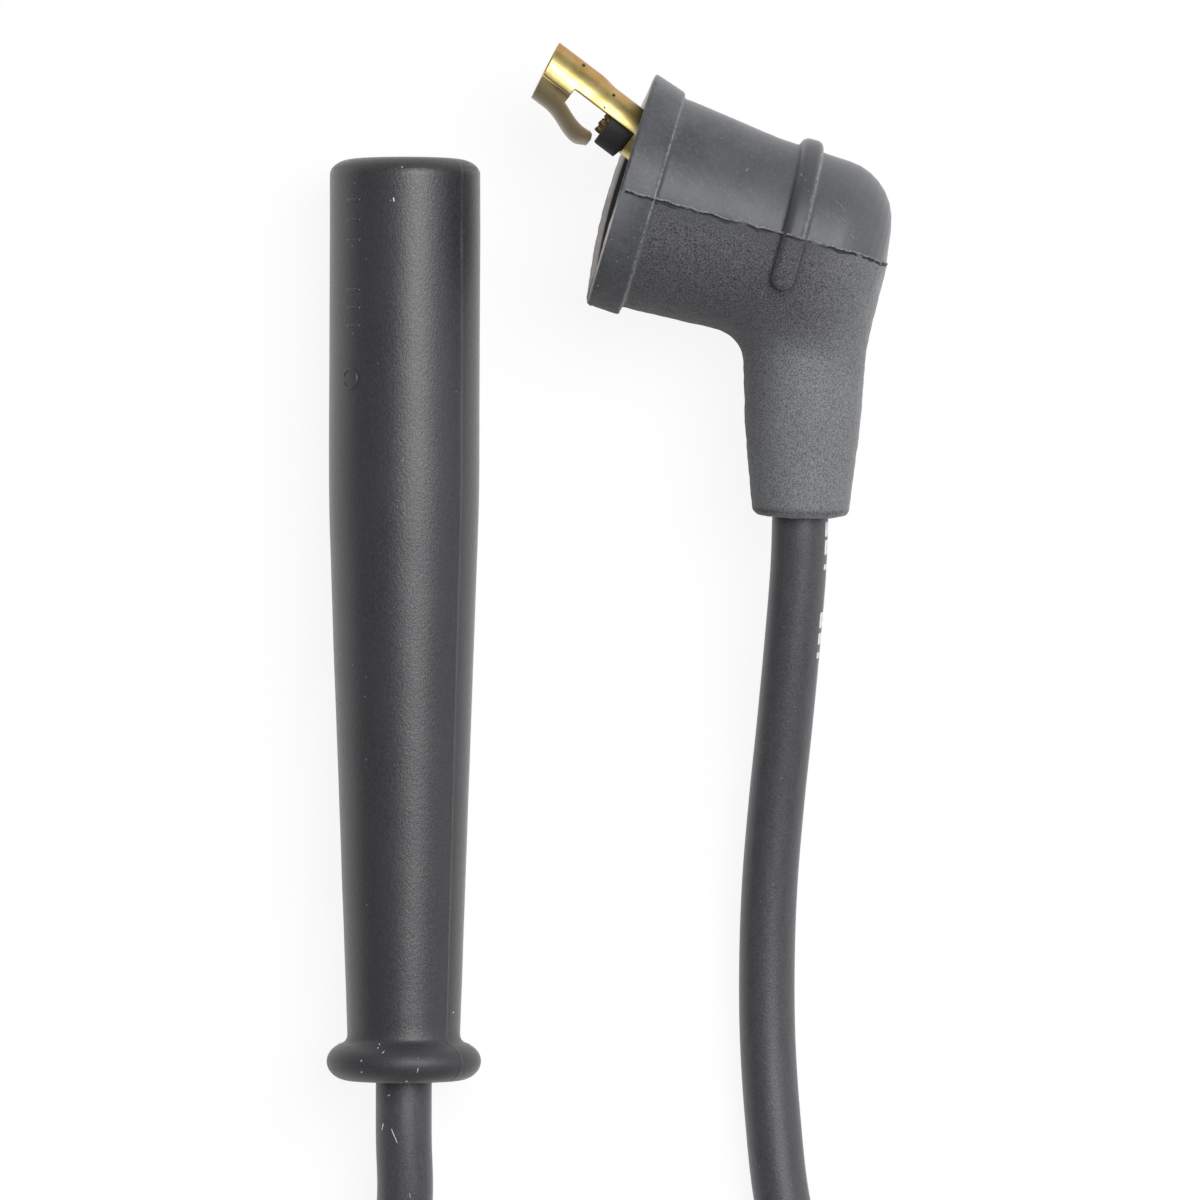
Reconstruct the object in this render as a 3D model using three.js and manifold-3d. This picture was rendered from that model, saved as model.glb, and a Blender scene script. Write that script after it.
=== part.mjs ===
// A spark plug lead, lying on a flat surface: a long straight boot for the spark plug, an elbow
// boot for the coil tower with its brass terminal standing out, and the 7 mm cable between them.
// Millimetres, +Z up. The surface is z = 0. The straight boot lies along Y, its mouth towards +Y.

import * as THREE from 'three';
import { mergeVertices } from 'three/addons/utils/BufferGeometryUtils.js';
import Module from 'manifold-3d';

const wasm = await Module();
wasm.setup();

const CLEARANCE = 0.3; // between neighbouring pieces
const DEG = Math.PI / 180;
const QUARTER = Math.PI / 2;

// Cable
const CABLE_DIAMETER = 7;
const CABLE_SIDES = 12;
const CORE_DIAMETER = 5;
const CORE_STANDS_OUT = 0.6; // past the cut end of the jacket
const CORE_STUB_LENGTH = 4.3;
const CORE_SIDES = 24;

// Straight boot
const PLUG_BOOT_X = -25.4;
const PLUG_BOOT_MOUTH_Y = 50.3;
const PLUG_BOOT_LENGTH = 115.1;
const BARREL_DIAMETER = 18.8;
const BARREL_LENGTH = 43;
const BOOT_SIDES = 40;
const MOUTH_ROUNDING = 1.4;
const SLEEVE_END_DIAMETER = 14.1;
const SLEEVE_ROOT_ROUNDING = 1.2;
const COLLAR_DIAMETER = 19.3;
const COLLAR_WIDTH = 4.9;
const COLLAR_FACE_DIAMETER = 11;
const PLUG_BORE_DIAMETER = 10.8;
const PLUG_BORE_DEPTH = 47;
const PLUG_LEAD_IN = 1.2;
const PLUG_LEAD_IN_RISE = 0.84;
const SEAL_RIB_HEIGHT = 0.4;
const SEAL_RIB_WIDTH = 1.6;
const SEAL_RIB_DEPTHS = [6, 11];
const CHAMBER_SPARE = 2; // past the crimp
const CHAMBER_CONE = 1;

// Snap terminal in the straight boot
const TERMINAL_WALL = 0.35;
const SOCKET_BORE_DIAMETER = 6.6;
const SOCKET_DEPTH = 42; // of its mouth inside the boot
const SOCKET_LENGTH = 17;
const SOCKET_FLARE = 2;
const PLUG_CRIMP_LENGTH = 15;
const PLUG_TERMINAL_SIDES = 28;
const CABLE_FROM_FLARE = 1;
const CLIP_WIRE_DIAMETER = 0.8;
const CLIP_FROM_SOCKET_MOUTH = 4;
const CLIP_GAP_ANGLE = 60 * DEG;
const CLIP_STEPS = 20;
const CLIP_SIDES = 8;

// Elbow boot. Its own axes: y from the mouth into the boot, x towards the neck side, z up.
const ELBOW_X = 1.77;
const ELBOW_Y = 46.38;
const ELBOW_TURN = -108 * DEG; // in plan
const LIP_DIAMETER = 29.7;
const LIP_BACK_DIAMETER = 28.7;
const LIP_WIDTH = 4.2;
const LIP_STEP = 0.3;
const LIP_SKEW = 0.12; // sideways for each millimetre along, towards the neck
const CUP_SIDES = 48;
const CUP_FRONT_DIAMETER = 27;
const CUP_BACK_DIAMETER = 25;
const CUP_OFFSET = 0.4; // of the cup behind its lip, towards the neck
const CUP_LENGTH = 33.5;
const CUP_CORNER = 7.5;
const CAVITY_DIAMETER = 22.8;
const CAVITY_MOUTH_DIAMETER = 24.6;
const CAVITY_LEAD_IN = 1.2;
const CAVITY_DEPTH = 18;
const CAVITY_CORNER = 4;
const CAVITY_OVERRUN = 1; // of the cutting shape, out of the mouth
const RIB_WIDTH = 2.8;
const RIB_HEIGHT = 1.2;
const RIB_ROUNDING = 0.7;
const RIB_ROOT = 2; // depth in the cup's wall
const RIB_STEPS = 28;
const RIB_FROM_MOUTH = 21.6;
const RIB_HALF_SPAN = 117 * DEG;
const RIB_LEAN = 3 * DEG;
const NECK_ROOT_DIAMETER = 18.6;
const NECK_MIDDLE_DIAMETER = 15.3;
const NECK_SHOULDER_DIAMETER = 14.4;
const NECK_END_DIAMETER = 11.9;
const NECK_MIDDLE = 10.5; // distances along the neck from the cable's corner
const NECK_SHOULDER = 19.5;
const NECK_LENGTH = 30.8;
const NECK_END_ROUNDING = 0.4;
const NECK_SIDES = 32;
const WAY_SPARE = 2; // of the cable's way past the neck

// Rolled brass terminal in the elbow. Its own axes: y from its mouth inwards, x to its open side.
const ROLL_DIAMETER = 7.6;
const ROLL_TURN = -19 * DEG; // from the elbow's axis
const ROLL_OFFSET = 6.4; // off the elbow's axis at the elbow's mouth
const ROLL_STANDS_OUT = 15;
const ROLL_RING_LENGTH = 5;
const ROLL_MOUTH_SKEW = 10 * DEG;
const WINDOW_END = 14.2;
const WINDOW_EDGE = 0.45; // of the half tube beside the window, past the axis
const CRIMP_START = 8.9;
const CRIMP_END = 25.6;
const CRIMP_SEAM = 0.7;
const ROLL_CABLE_END = 10.85;
const FINGER_LENGTH = 5.2;
const FINGER_HALF_ANGLE = 56 * DEG;
const FINGER_ROOT = 0.8; // length in the ring
const FINGER_CURL = 100 * DEG;
const FINGER_STEPS = 8;
const FINGER_SPRING = 1.35;
const BEND_FROM_ROLL_MOUTH = 41.45; // where the terminal's line meets the neck's line
const BEND_ANGLE = 54.4 * DEG;
const BEND_RADIUS = 14;
const BEND_STEPS = 5;
const LINE_SHARES = [0, 0.35, 0.7]; // places of the route's points before the bend
const NECK_SHARES = [0.5, 1]; // and after it
const ROLL_SIDES = 32;

// Coil of the spare length, and the tie that holds it
const COIL_CENTRE = new THREE.Vector2(3.1, -126.8);
const COIL_OUTER_RADIUS = 40;
const TURN_PITCH = 7.2;
const COIL_POINTS_PER_TURN = 20;
const COIL_TURNS = 1.5;
const CROSSING_ANGLE = 414 * DEG;
const CROSSING_FLAT = 18 * DEG;
const CROSSING_RAMP = 65 * DEG;
const TIE_ANGLE = 270 * DEG;
const TIE_RAMP = 60 * DEG;
const TIE_THICKNESS = 0.8;
const TIE_WIDTH = 3.6;
const TIE_CLEARANCE = 0.5; // round both turns, which curve under the strap
const TIE_HEAD_WIDTH = 6;
const TIE_HEAD_HEIGHT = 2.2;
const TIE_HEAD_LENGTH = 5;

const cableRadius = CABLE_DIAMETER / 2;
const cableBore = cableRadius + CLEARANCE;
const crimpInner = cableRadius + CLEARANCE;
const crimpOuter = crimpInner + TERMINAL_WALL;
const bootAxisHeight = COLLAR_DIAMETER / 2;
// The elbow lies on its lip and its rib, so its back is lower than its mouth.
const elbowTilt = -Math.atan2(
  (LIP_DIAMETER - CUP_BACK_DIAMETER) / 2 - RIB_HEIGHT, RIB_FROM_MOUTH);
const tieRise = TIE_THICKNESS + TIE_CLEARANCE;

// Solids

function solid(geometry) {
  const bare = geometry.clone();
  for (const name of ['normal', 'uv']) bare.deleteAttribute(name);
  const merged = mergeVertices(bare, 1e-4);
  const triangles = [];
  for (let i = 0; i < merged.index.count; i += 3) {
    const [a, b, c] = [0, 1, 2].map((k) => merged.index.getX(i + k));
    if (a !== b && b !== c && c !== a) triangles.push(a, b, c);
  }
  return new wasm.Manifold(new wasm.Mesh({
    numProp: 3,
    vertProperties: new Float32Array(merged.attributes.position.array),
    triVerts: new Uint32Array(triangles),
  }));
}

function geometryOf(body) {
  const mesh = body.getMesh();
  const geometry = new THREE.BufferGeometry();
  geometry.setAttribute('position', new THREE.BufferAttribute(mesh.vertProperties, 3));
  geometry.setIndex(new THREE.BufferAttribute(mesh.triVerts, 1));
  geometry.computeVertexNormals();
  return geometry;
}

// A turned solid about Y. The outline runs up its outside and back down its inside.
function turned(outline, segments) {
  const points = outline.map(([radius, along]) => new THREE.Vector2(radius, along));
  if (outline[0][0] > 0) points.push(points[0].clone());
  return new THREE.LatheGeometry(points, segments);
}

// Outline points on a quarter or part of an ellipse, angles from the radial direction
function arc(radius, along, radial, axial, from, to, steps) {
  return Array.from({ length: steps + 1 }, (_, i) => {
    const angle = from + (to - from) * i / steps;
    return [radius + radial * Math.cos(angle), along + axial * Math.sin(angle)];
  });
}

function box(width, length, height, x, y, z) {
  return new THREE.BoxGeometry(width, length, height).translate(x, y, z);
}

// A curve through hand-set points, in which each extrusion step ends on a point
class Route extends THREE.CatmullRomCurve3 {
  getPointAt(u, target) {
    return this.getPoint(u, target);
  }

  getTangentAt(u, target) {
    return this.getTangent(u, target);
  }
}

function tube(points, radius) {
  const section = new THREE.Shape();
  section.absellipse(0, 0, radius, radius, 0, 2 * Math.PI, false, 0);
  return new THREE.ExtrudeGeometry(new THREE.Shape(section.getPoints(CABLE_SIDES).slice(0, -1)), {
    steps: points.length - 1,
    extrudePath: new Route(points),
  });
}

// Bore radius whose flat sides keep the clearance round a cable of as many sides
const facetedBore = cableBore / Math.cos(Math.PI / CABLE_SIDES);

// Straight boot

function plugBoot() {
  const mouthRadius = BARREL_DIAMETER / 2;
  const sleeveEnd = PLUG_BOOT_LENGTH - COLLAR_WIDTH;
  const collarRadius = COLLAR_DIAMETER / 2;
  const faceRadius = COLLAR_FACE_DIAMETER / 2;
  const crest = PLUG_BOOT_LENGTH - COLLAR_WIDTH / 2;
  const bore = PLUG_BORE_DIAMETER / 2;
  const chamber = crimpOuter + CLEARANCE;
  const chamberEnd = SOCKET_DEPTH + SOCKET_LENGTH + SOCKET_FLARE + PLUG_CRIMP_LENGTH
    + CHAMBER_SPARE;
  const outside = [
    ...arc(mouthRadius - MOUTH_ROUNDING, MOUTH_ROUNDING, MOUTH_ROUNDING, MOUTH_ROUNDING,
      -QUARTER, 0, 3),
    [mouthRadius, BARREL_LENGTH],
    [SLEEVE_END_DIAMETER / 2, sleeveEnd - SLEEVE_ROOT_ROUNDING],
    [SLEEVE_END_DIAMETER / 2 + SLEEVE_ROOT_ROUNDING / 2, sleeveEnd - SLEEVE_ROOT_ROUNDING / 4],
    ...arc(faceRadius, crest, collarRadius - faceRadius, COLLAR_WIDTH / 2,
      -QUARTER / 2, QUARTER, 7),
  ];
  const ribs = SEAL_RIB_DEPTHS.toReversed().flatMap((depth) => [
    [bore, depth + SEAL_RIB_WIDTH / 2],
    [bore - SEAL_RIB_HEIGHT, depth],
    [bore, depth - SEAL_RIB_WIDTH / 2],
  ]);
  const inside = [
    [cableBore, PLUG_BOOT_LENGTH],
    [cableBore, chamberEnd],
    [chamber, chamberEnd - CHAMBER_CONE],
    [chamber, PLUG_BORE_DEPTH + CHAMBER_CONE],
    [bore, PLUG_BORE_DEPTH],
    ...ribs,
    [bore, PLUG_LEAD_IN],
    [bore + PLUG_LEAD_IN_RISE, 0],
  ];
  return turned([...outside, ...inside], BOOT_SIDES);
}

function plugTerminal() {
  const socket = SOCKET_BORE_DIAMETER / 2;
  const flareStart = SOCKET_LENGTH;
  const crimpStart = SOCKET_LENGTH + SOCKET_FLARE;
  const end = crimpStart + PLUG_CRIMP_LENGTH;
  return turned([
    [socket + TERMINAL_WALL, 0],
    [socket + TERMINAL_WALL, flareStart],
    [crimpOuter, crimpStart],
    [crimpOuter, end],
    [crimpInner, end],
    [crimpInner, crimpStart],
    [socket, flareStart],
    [socket, 0],
  ], PLUG_TERMINAL_SIDES);
}

function terminalClip() {
  const radius = SOCKET_BORE_DIAMETER / 2 + TERMINAL_WALL + CLEARANCE + CLIP_WIRE_DIAMETER / 2;
  const span = 2 * Math.PI - CLIP_GAP_ANGLE;
  const points = Array.from({ length: CLIP_STEPS + 1 }, (_, i) => {
    const angle = CLIP_GAP_ANGLE / 2 + span * i / CLIP_STEPS;
    return new THREE.Vector3(radius * Math.cos(angle), 0, radius * Math.sin(angle));
  });
  const section = new THREE.Shape();
  section.absellipse(0, 0, CLIP_WIRE_DIAMETER / 2, CLIP_WIRE_DIAMETER / 2, 0, 2 * Math.PI);
  return new THREE.ExtrudeGeometry(new THREE.Shape(section.getPoints(CLIP_SIDES).slice(0, -1)), {
    steps: points.length - 1,
    extrudePath: new Route(points),
  });
}

// Elbow boot

const rollOrigin = new THREE.Vector2(
  -ROLL_OFFSET + ROLL_STANDS_OUT * Math.sin(ROLL_TURN),
  -ROLL_STANDS_OUT * Math.cos(ROLL_TURN),
);
const rollDirection = new THREE.Vector2(-Math.sin(ROLL_TURN), Math.cos(ROLL_TURN));
const neckAngle = QUARTER + ROLL_TURN - BEND_ANGLE; // from the elbow's x axis
const neckDirection = new THREE.Vector2(Math.cos(neckAngle), Math.sin(neckAngle));
const openSide = new THREE.Vector2(rollDirection.y, -rollDirection.x);
const corner = rollOrigin.clone().addScaledVector(rollDirection, BEND_FROM_ROLL_MOUTH);

// The cable's line inside the elbow, from its cut end round the bend to the end of the neck
function elbowRoute() {
  const tangent = BEND_RADIUS * Math.tan(BEND_ANGLE / 2);
  const bendStart = corner.clone().addScaledVector(rollDirection, -tangent);
  const centre = bendStart.clone().addScaledVector(openSide, BEND_RADIUS);
  const startAngle = Math.PI + ROLL_TURN;
  const along = (distance) => rollOrigin.clone().addScaledVector(rollDirection, distance);
  const straight = BEND_FROM_ROLL_MOUTH - tangent - ROLL_CABLE_END;
  const line = LINE_SHARES.map((share) => along(ROLL_CABLE_END + share * straight));
  const bend = Array.from({ length: BEND_STEPS + 1 }, (_, i) => {
    const angle = startAngle - BEND_ANGLE * i / BEND_STEPS;
    return new THREE.Vector2(Math.cos(angle), Math.sin(angle))
      .multiplyScalar(BEND_RADIUS).add(centre);
  });
  const neck = NECK_SHARES.map((share) => corner.clone().addScaledVector(
    neckDirection, tangent + share * (NECK_LENGTH - tangent)));
  return [...line, ...bend, ...neck].map((point) => new THREE.Vector3(point.x, point.y, 0));
}

function lip() {
  return turned([
    [0, 0],
    [LIP_DIAMETER / 2, 0],
    [LIP_BACK_DIAMETER / 2, LIP_WIDTH],
    [CUP_FRONT_DIAMETER / 2 - CUP_OFFSET, LIP_WIDTH + LIP_STEP],
    [0, LIP_WIDTH + LIP_STEP],
  ], CUP_SIDES).applyMatrix4(new THREE.Matrix4().makeShear(0, 0, LIP_SKEW, 0, 0, 0));
}

function cup() {
  const back = CUP_BACK_DIAMETER / 2;
  return turned([
    [0, LIP_STEP],
    [CUP_FRONT_DIAMETER / 2, LIP_STEP],
    [CUP_FRONT_DIAMETER / 2, LIP_WIDTH + LIP_STEP],
    [back, CUP_LENGTH / 2],
    ...arc(back - CUP_CORNER, CUP_LENGTH - CUP_CORNER, CUP_CORNER, CUP_CORNER, 0, QUARTER, 6),
    [0, CUP_LENGTH],
  ], CUP_SIDES).translate(CUP_OFFSET, 0, 0);
}

function neck() {
  const root = NECK_ROOT_DIAMETER / 2;
  return turned([
    ...arc(0, 0, root, root, -QUARTER, 0, 5),
    [NECK_MIDDLE_DIAMETER / 2, NECK_MIDDLE],
    [NECK_SHOULDER_DIAMETER / 2, NECK_SHOULDER],
    [NECK_END_DIAMETER / 2, NECK_LENGTH - NECK_END_ROUNDING],
    [NECK_END_DIAMETER / 2 - NECK_END_ROUNDING, NECK_LENGTH],
    [0, NECK_LENGTH],
  ], NECK_SIDES).rotateZ(neckAngle - QUARTER).translate(corner.x, corner.y, 0);
}

// A rounded bar across the side away from the neck
function gripRib() {
  const outer = CUP_BACK_DIAMETER / 2 + RIB_HEIGHT - RIB_ROUNDING;
  const inner = CUP_BACK_DIAMETER / 2 - RIB_ROOT;
  const shape = new THREE.Shape();
  shape.absarc(0, 0, outer, Math.PI - RIB_HALF_SPAN, Math.PI + RIB_HALF_SPAN, false);
  shape.absarc(0, 0, inner, Math.PI + RIB_HALF_SPAN, Math.PI - RIB_HALF_SPAN, true);
  shape.closePath();
  const depth = RIB_WIDTH - 2 * RIB_ROUNDING;
  return new THREE.ExtrudeGeometry(shape, {
    depth,
    curveSegments: RIB_STEPS,
    bevelSize: RIB_ROUNDING,
    bevelThickness: RIB_ROUNDING,
    bevelSegments: 2,
  }).translate(0, 0, -depth / 2).rotateX(QUARTER).rotateZ(RIB_LEAN)
    .translate(CUP_OFFSET, RIB_FROM_MOUTH, 0);
}

function cupCavity() {
  const radius = CAVITY_DIAMETER / 2;
  return turned([
    [0, -CAVITY_OVERRUN],
    [CAVITY_MOUTH_DIAMETER / 2, -CAVITY_OVERRUN],
    [CAVITY_MOUTH_DIAMETER / 2, 0],
    [radius, CAVITY_LEAD_IN],
    ...arc(radius - CAVITY_CORNER, CAVITY_DEPTH - CAVITY_CORNER, CAVITY_CORNER, CAVITY_CORNER,
      0, QUARTER, 4),
    [0, CAVITY_DEPTH],
  ], BOOT_SIDES);
}

// The way through the boot that the cable takes, a little longer than the cable at both ends
function cableWay() {
  const points = elbowRoute();
  const last = points.at(-1).clone().sub(points.at(-2)).normalize();
  points.push(points.at(-1).clone().addScaledVector(last, WAY_SPARE));
  return tube(points, facetedBore);
}

function elbowBoot() {
  const body = solid(lip()).add(solid(cup())).add(solid(neck())).add(solid(gripRib()));
  return geometryOf(body.subtract(solid(cupCavity())).subtract(solid(cableWay())));
}

// A strip of the rolled tube that springs outwards on the open side
function springFinger() {
  const outer = ROLL_DIAMETER / 2;
  const start = ROLL_RING_LENGTH - FINGER_ROOT;
  const shape = new THREE.Shape();
  shape.absarc(0, 0, outer, -FINGER_HALF_ANGLE, FINGER_HALF_ANGLE, false);
  shape.absarc(0, 0, outer - TERMINAL_WALL, FINGER_HALF_ANGLE, -FINGER_HALF_ANGLE, true);
  shape.closePath();
  const length = ROLL_RING_LENGTH - start + FINGER_LENGTH;
  const geometry = new THREE.ExtrudeGeometry(shape, {
    depth: length, steps: FINGER_STEPS, curveSegments: 6, bevelEnabled: false,
  }).rotateX(QUARTER).translate(0, start + length, 0);
  const position = geometry.attributes.position;
  for (let i = 0; i < position.count; i += 1) {
    const share = Math.max(0, position.getY(i) - ROLL_RING_LENGTH) / FINGER_LENGTH;
    position.setX(i, position.getX(i) + FINGER_SPRING * Math.sin(share * FINGER_CURL) ** 2);
  }
  return geometry;
}

function rolledTerminal() {
  const outer = ROLL_DIAMETER / 2;
  const inner = outer - TERMINAL_WALL;
  const step = 2 * (crimpOuter - outer);
  const tubeWall = turned([
    [outer, 0], [outer, CRIMP_START], [crimpOuter, CRIMP_START + step], [crimpOuter, CRIMP_END],
    [crimpInner, CRIMP_END], [crimpInner, CRIMP_START + step], [inner, CRIMP_START], [inner, 0],
  ], ROLL_SIDES);
  const reach = 2 * ROLL_DIAMETER;
  const windowLength = WINDOW_END - ROLL_RING_LENGTH;
  const windowMiddle = (WINDOW_END + ROLL_RING_LENGTH) / 2;
  const open = box(reach, windowLength, reach, reach / 2 - WINDOW_EDGE, windowMiddle, 0);
  const seam = box(reach, CRIMP_END, CRIMP_SEAM, reach / 2, ROLL_RING_LENGTH + CRIMP_END / 2, 0);
  const skew = box(2 * reach, reach, reach, 0, -reach / 2, 0)
    .rotateZ(ROLL_MOUTH_SKEW).translate(-outer, 0, 0);
  const shell = solid(tubeWall).subtract(solid(open)).subtract(solid(seam));
  return geometryOf(shell.add(solid(springFinger())).subtract(solid(skew)));
}

// Cable

// A smooth rise and fall of 1, flat for a stretch at the top
function hump(angle, middle, flat, ramp) {
  const past = Math.min(Math.max((Math.abs(angle - middle) - flat) / ramp, 0), 1);
  return (1 + Math.cos(Math.PI * past)) / 2;
}

// One turn and a half: the outer half turn, the way in, and the inner half turn beside the outer
function coilPoints() {
  const count = COIL_TURNS * COIL_POINTS_PER_TURN;
  return Array.from({ length: count + 1 }, (_, i) => {
    const angle = Math.PI + 2 * Math.PI * i / COIL_POINTS_PER_TURN;
    const inwards = Math.min(Math.max(angle / Math.PI - 2, 0), 1);
    const radius = COIL_OUTER_RADIUS - TURN_PITCH * inwards;
    const height = cableRadius
      + (CABLE_DIAMETER + CLEARANCE) * hump(angle, CROSSING_ANGLE, CROSSING_FLAT, CROSSING_RAMP)
      + tieRise * hump(angle, TIE_ANGLE, 0, TIE_RAMP)
      + tieRise * hump(angle, TIE_ANGLE + 2 * Math.PI, 0, TIE_RAMP);
    return new THREE.Vector3(
      COIL_CENTRE.x + radius * Math.cos(angle),
      COIL_CENTRE.y + radius * Math.sin(angle),
      height,
    );
  });
}

// Out of the straight boot and down to the surface
const FROM_PLUG_BOOT = [
  [-25.4, -72, 9.45], [-25.3, -80, 8.5], [-26.6, -89.5, 6.95], [-30.2, -99.5, 5.2],
  [-34.2, -109.5, 3.9], [-36.4, -118.5, 3.5],
];

// From the coil along the surface and up into the neck of the elbow
const TO_ELBOW = [
  [34.6, -116, 3.5], [31.2, -106, 3.5], [27.1, -97, 3.5], [24, -88.5, 3.5],
  [21.95, -79.8, 3.5], [20.85, -70, 3.5], [20.2, -60, 3.6], [20.1, -50, 4.2],
  [20.45, -40, 5.3], [21.25, -30, 6.9], [22.25, -20, 8.8], [23.15, -10, 10.7],
  [23.85, -1, 12.1],
];

function cable(elbow) {
  const cutEnd = SOCKET_DEPTH + SOCKET_LENGTH + SOCKET_FLARE + CABLE_FROM_FLARE;
  const middle = (cutEnd + PLUG_BOOT_LENGTH) / 2;
  const inPlugBoot = [cutEnd, middle, PLUG_BOOT_LENGTH].map(
    (depth) => new THREE.Vector3(PLUG_BOOT_X, PLUG_BOOT_MOUTH_Y - depth, bootAxisHeight));
  const inElbow = elbowRoute().toReversed().map((point) => elbow.localToWorld(point));
  const free = [FROM_PLUG_BOOT, TO_ELBOW].map(
    (list) => list.map(([x, y, z]) => new THREE.Vector3(x, y, z)));
  const points = [...inPlugBoot, ...free[0], ...coilPoints(), ...free[1], ...inElbow];
  const ends = [[points[0], points[1]], [points.at(-1), points.at(-2)]];
  let body = solid(tube(points, cableRadius));
  for (const [end, next] of ends) {
    const bore = new THREE.CylinderGeometry(
      CORE_DIAMETER / 2 + CLEARANCE, CORE_DIAMETER / 2 + CLEARANCE, 2 * CORE_STUB_LENGTH, CORE_SIDES);
    body = body.subtract(solid(aimed(bore, end, next)));
  }
  return { geometry: geometryOf(body), ends };
}

// A geometry made along Y, moved to a point and turned to look at the next one
function aimed(geometry, point, next) {
  const turn = new THREE.Quaternion().setFromUnitVectors(
    new THREE.Vector3(0, 1, 0), next.clone().sub(point).normalize());
  return geometry.applyQuaternion(turn).translate(point.x, point.y, point.z);
}

// The cable's inner core, seen at a cut end
function coreStub([end, next]) {
  const length = CORE_STUB_LENGTH - CLEARANCE + CORE_STANDS_OUT;
  const stub = new THREE.CylinderGeometry(CORE_DIAMETER / 2, CORE_DIAMETER / 2, length, CORE_SIDES)
    .translate(0, length / 2 - CORE_STANDS_OUT, 0);
  return aimed(stub, end, next);
}

function loop(length, height) {
  const shape = new THREE.Shape();
  const straight = (length - height) / 2;
  shape.absarc(straight, 0, height / 2, -QUARTER, QUARTER, false);
  shape.absarc(-straight, 0, height / 2, QUARTER, 3 * QUARTER, false);
  shape.closePath();
  return shape;
}

// A flat strap round the two turns, with its square head on top
function coilTie() {
  const innerLength = TURN_PITCH + CABLE_DIAMETER + 2 * TIE_CLEARANCE;
  const innerHeight = CABLE_DIAMETER + 2 * TIE_CLEARANCE;
  const strap = loop(innerLength + 2 * TIE_THICKNESS, innerHeight + 2 * TIE_THICKNESS);
  strap.holes.push(loop(innerLength, innerHeight));
  const band = new THREE.ExtrudeGeometry(strap, {
    depth: TIE_WIDTH, curveSegments: 8, bevelEnabled: false,
  }).translate(0, 0, -TIE_WIDTH / 2);
  const head = box(TIE_HEAD_WIDTH, TIE_HEAD_HEIGHT, TIE_HEAD_LENGTH,
    0, innerHeight / 2 + TIE_THICKNESS / 2 + TIE_HEAD_HEIGHT / 2, 0);
  return geometryOf(solid(band).add(solid(head)));
}

// Assembly

const rubber = { color: 0x4a4b50, roughness: 0.62, metalness: 0 };
const dustyRubber = { color: 0x55565b, roughness: 0.78, metalness: 0 };
const jacket = { color: 0x45464a, roughness: 0.7, metalness: 0 };
const brass = { color: 0xc9a04a, roughness: 0.3, metalness: 1 };
const steel = { color: 0x9a9c9e, roughness: 0.35, metalness: 1 };
const coreFibre = { color: 0x9c7a45, roughness: 0.85, metalness: 0 };
const strapNylon = { color: 0x1c1c1e, roughness: 0.5, metalness: 0 };

function piece(name, geometry, finish, parent) {
  const mesh = new THREE.Mesh(geometry, new THREE.MeshStandardMaterial(finish));
  mesh.name = name;
  parent.add(mesh);
  return mesh;
}

const lead = new THREE.Group();

// The straight boot's group runs from its mouth along +Y of its own axes.
const straight = new THREE.Group();
straight.position.set(PLUG_BOOT_X, PLUG_BOOT_MOUTH_Y, bootAxisHeight);
straight.rotation.z = Math.PI;
lead.add(straight);
piece('plug_boot', plugBoot(), rubber, straight);
piece('plug_terminal', plugTerminal(), brass, straight).position.y = SOCKET_DEPTH;
piece('plug_terminal_clip', terminalClip(), steel, straight)
  .position.y = SOCKET_DEPTH + CLIP_FROM_SOCKET_MOUTH;

const elbow = new THREE.Group();
elbow.position.set(ELBOW_X, ELBOW_Y, LIP_DIAMETER / 2 * Math.cos(elbowTilt));
elbow.rotation.set(elbowTilt, 0, ELBOW_TURN, 'ZYX');
lead.add(elbow);
piece('elbow_boot', elbowBoot(), dustyRubber, elbow);
const roll = piece('tower_terminal', rolledTerminal(), brass, elbow);
roll.position.set(rollOrigin.x, rollOrigin.y, 0);
roll.rotation.z = ROLL_TURN;
lead.updateMatrixWorld(true);

const { geometry: cableGeometry, ends } = cable(elbow);
piece('ignition_cable', cableGeometry, jacket, lead);
piece('plug_end_core', coreStub(ends[0]), coreFibre, lead);
piece('tower_end_core', coreStub(ends[1]), coreFibre, lead);

const tie = piece('coil_tie', coilTie(), strapNylon, lead);
const tieRadius = COIL_OUTER_RADIUS - TURN_PITCH / 2;
tie.position.set(
  COIL_CENTRE.x + tieRadius * Math.cos(TIE_ANGLE),
  COIL_CENTRE.y + tieRadius * Math.sin(TIE_ANGLE),
  tieRise + cableRadius,
);
tie.rotation.set(QUARTER, 0, TIE_ANGLE, 'ZYX');

export default lead;
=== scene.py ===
"""A spark plug lead on a pale surface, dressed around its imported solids.

Lengths are in millimetres, in the frame of the solids, and MM turns them into metres.
"""
import math

import bmesh
import bpy
import numpy as np
from mathutils import Matrix, Vector


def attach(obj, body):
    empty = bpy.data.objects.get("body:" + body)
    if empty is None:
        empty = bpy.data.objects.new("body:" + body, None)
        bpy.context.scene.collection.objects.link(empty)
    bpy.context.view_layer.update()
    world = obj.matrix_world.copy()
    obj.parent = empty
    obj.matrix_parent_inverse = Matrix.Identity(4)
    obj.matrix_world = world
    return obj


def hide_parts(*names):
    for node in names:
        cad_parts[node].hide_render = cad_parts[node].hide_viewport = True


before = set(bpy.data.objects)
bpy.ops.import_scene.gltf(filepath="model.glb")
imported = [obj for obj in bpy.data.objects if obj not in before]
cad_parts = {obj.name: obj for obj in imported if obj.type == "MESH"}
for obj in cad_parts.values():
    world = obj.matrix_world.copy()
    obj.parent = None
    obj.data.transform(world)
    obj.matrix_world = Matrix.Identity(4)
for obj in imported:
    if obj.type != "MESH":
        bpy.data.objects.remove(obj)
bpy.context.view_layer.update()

MM = 0.001
DEG = math.pi / 180

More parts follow.
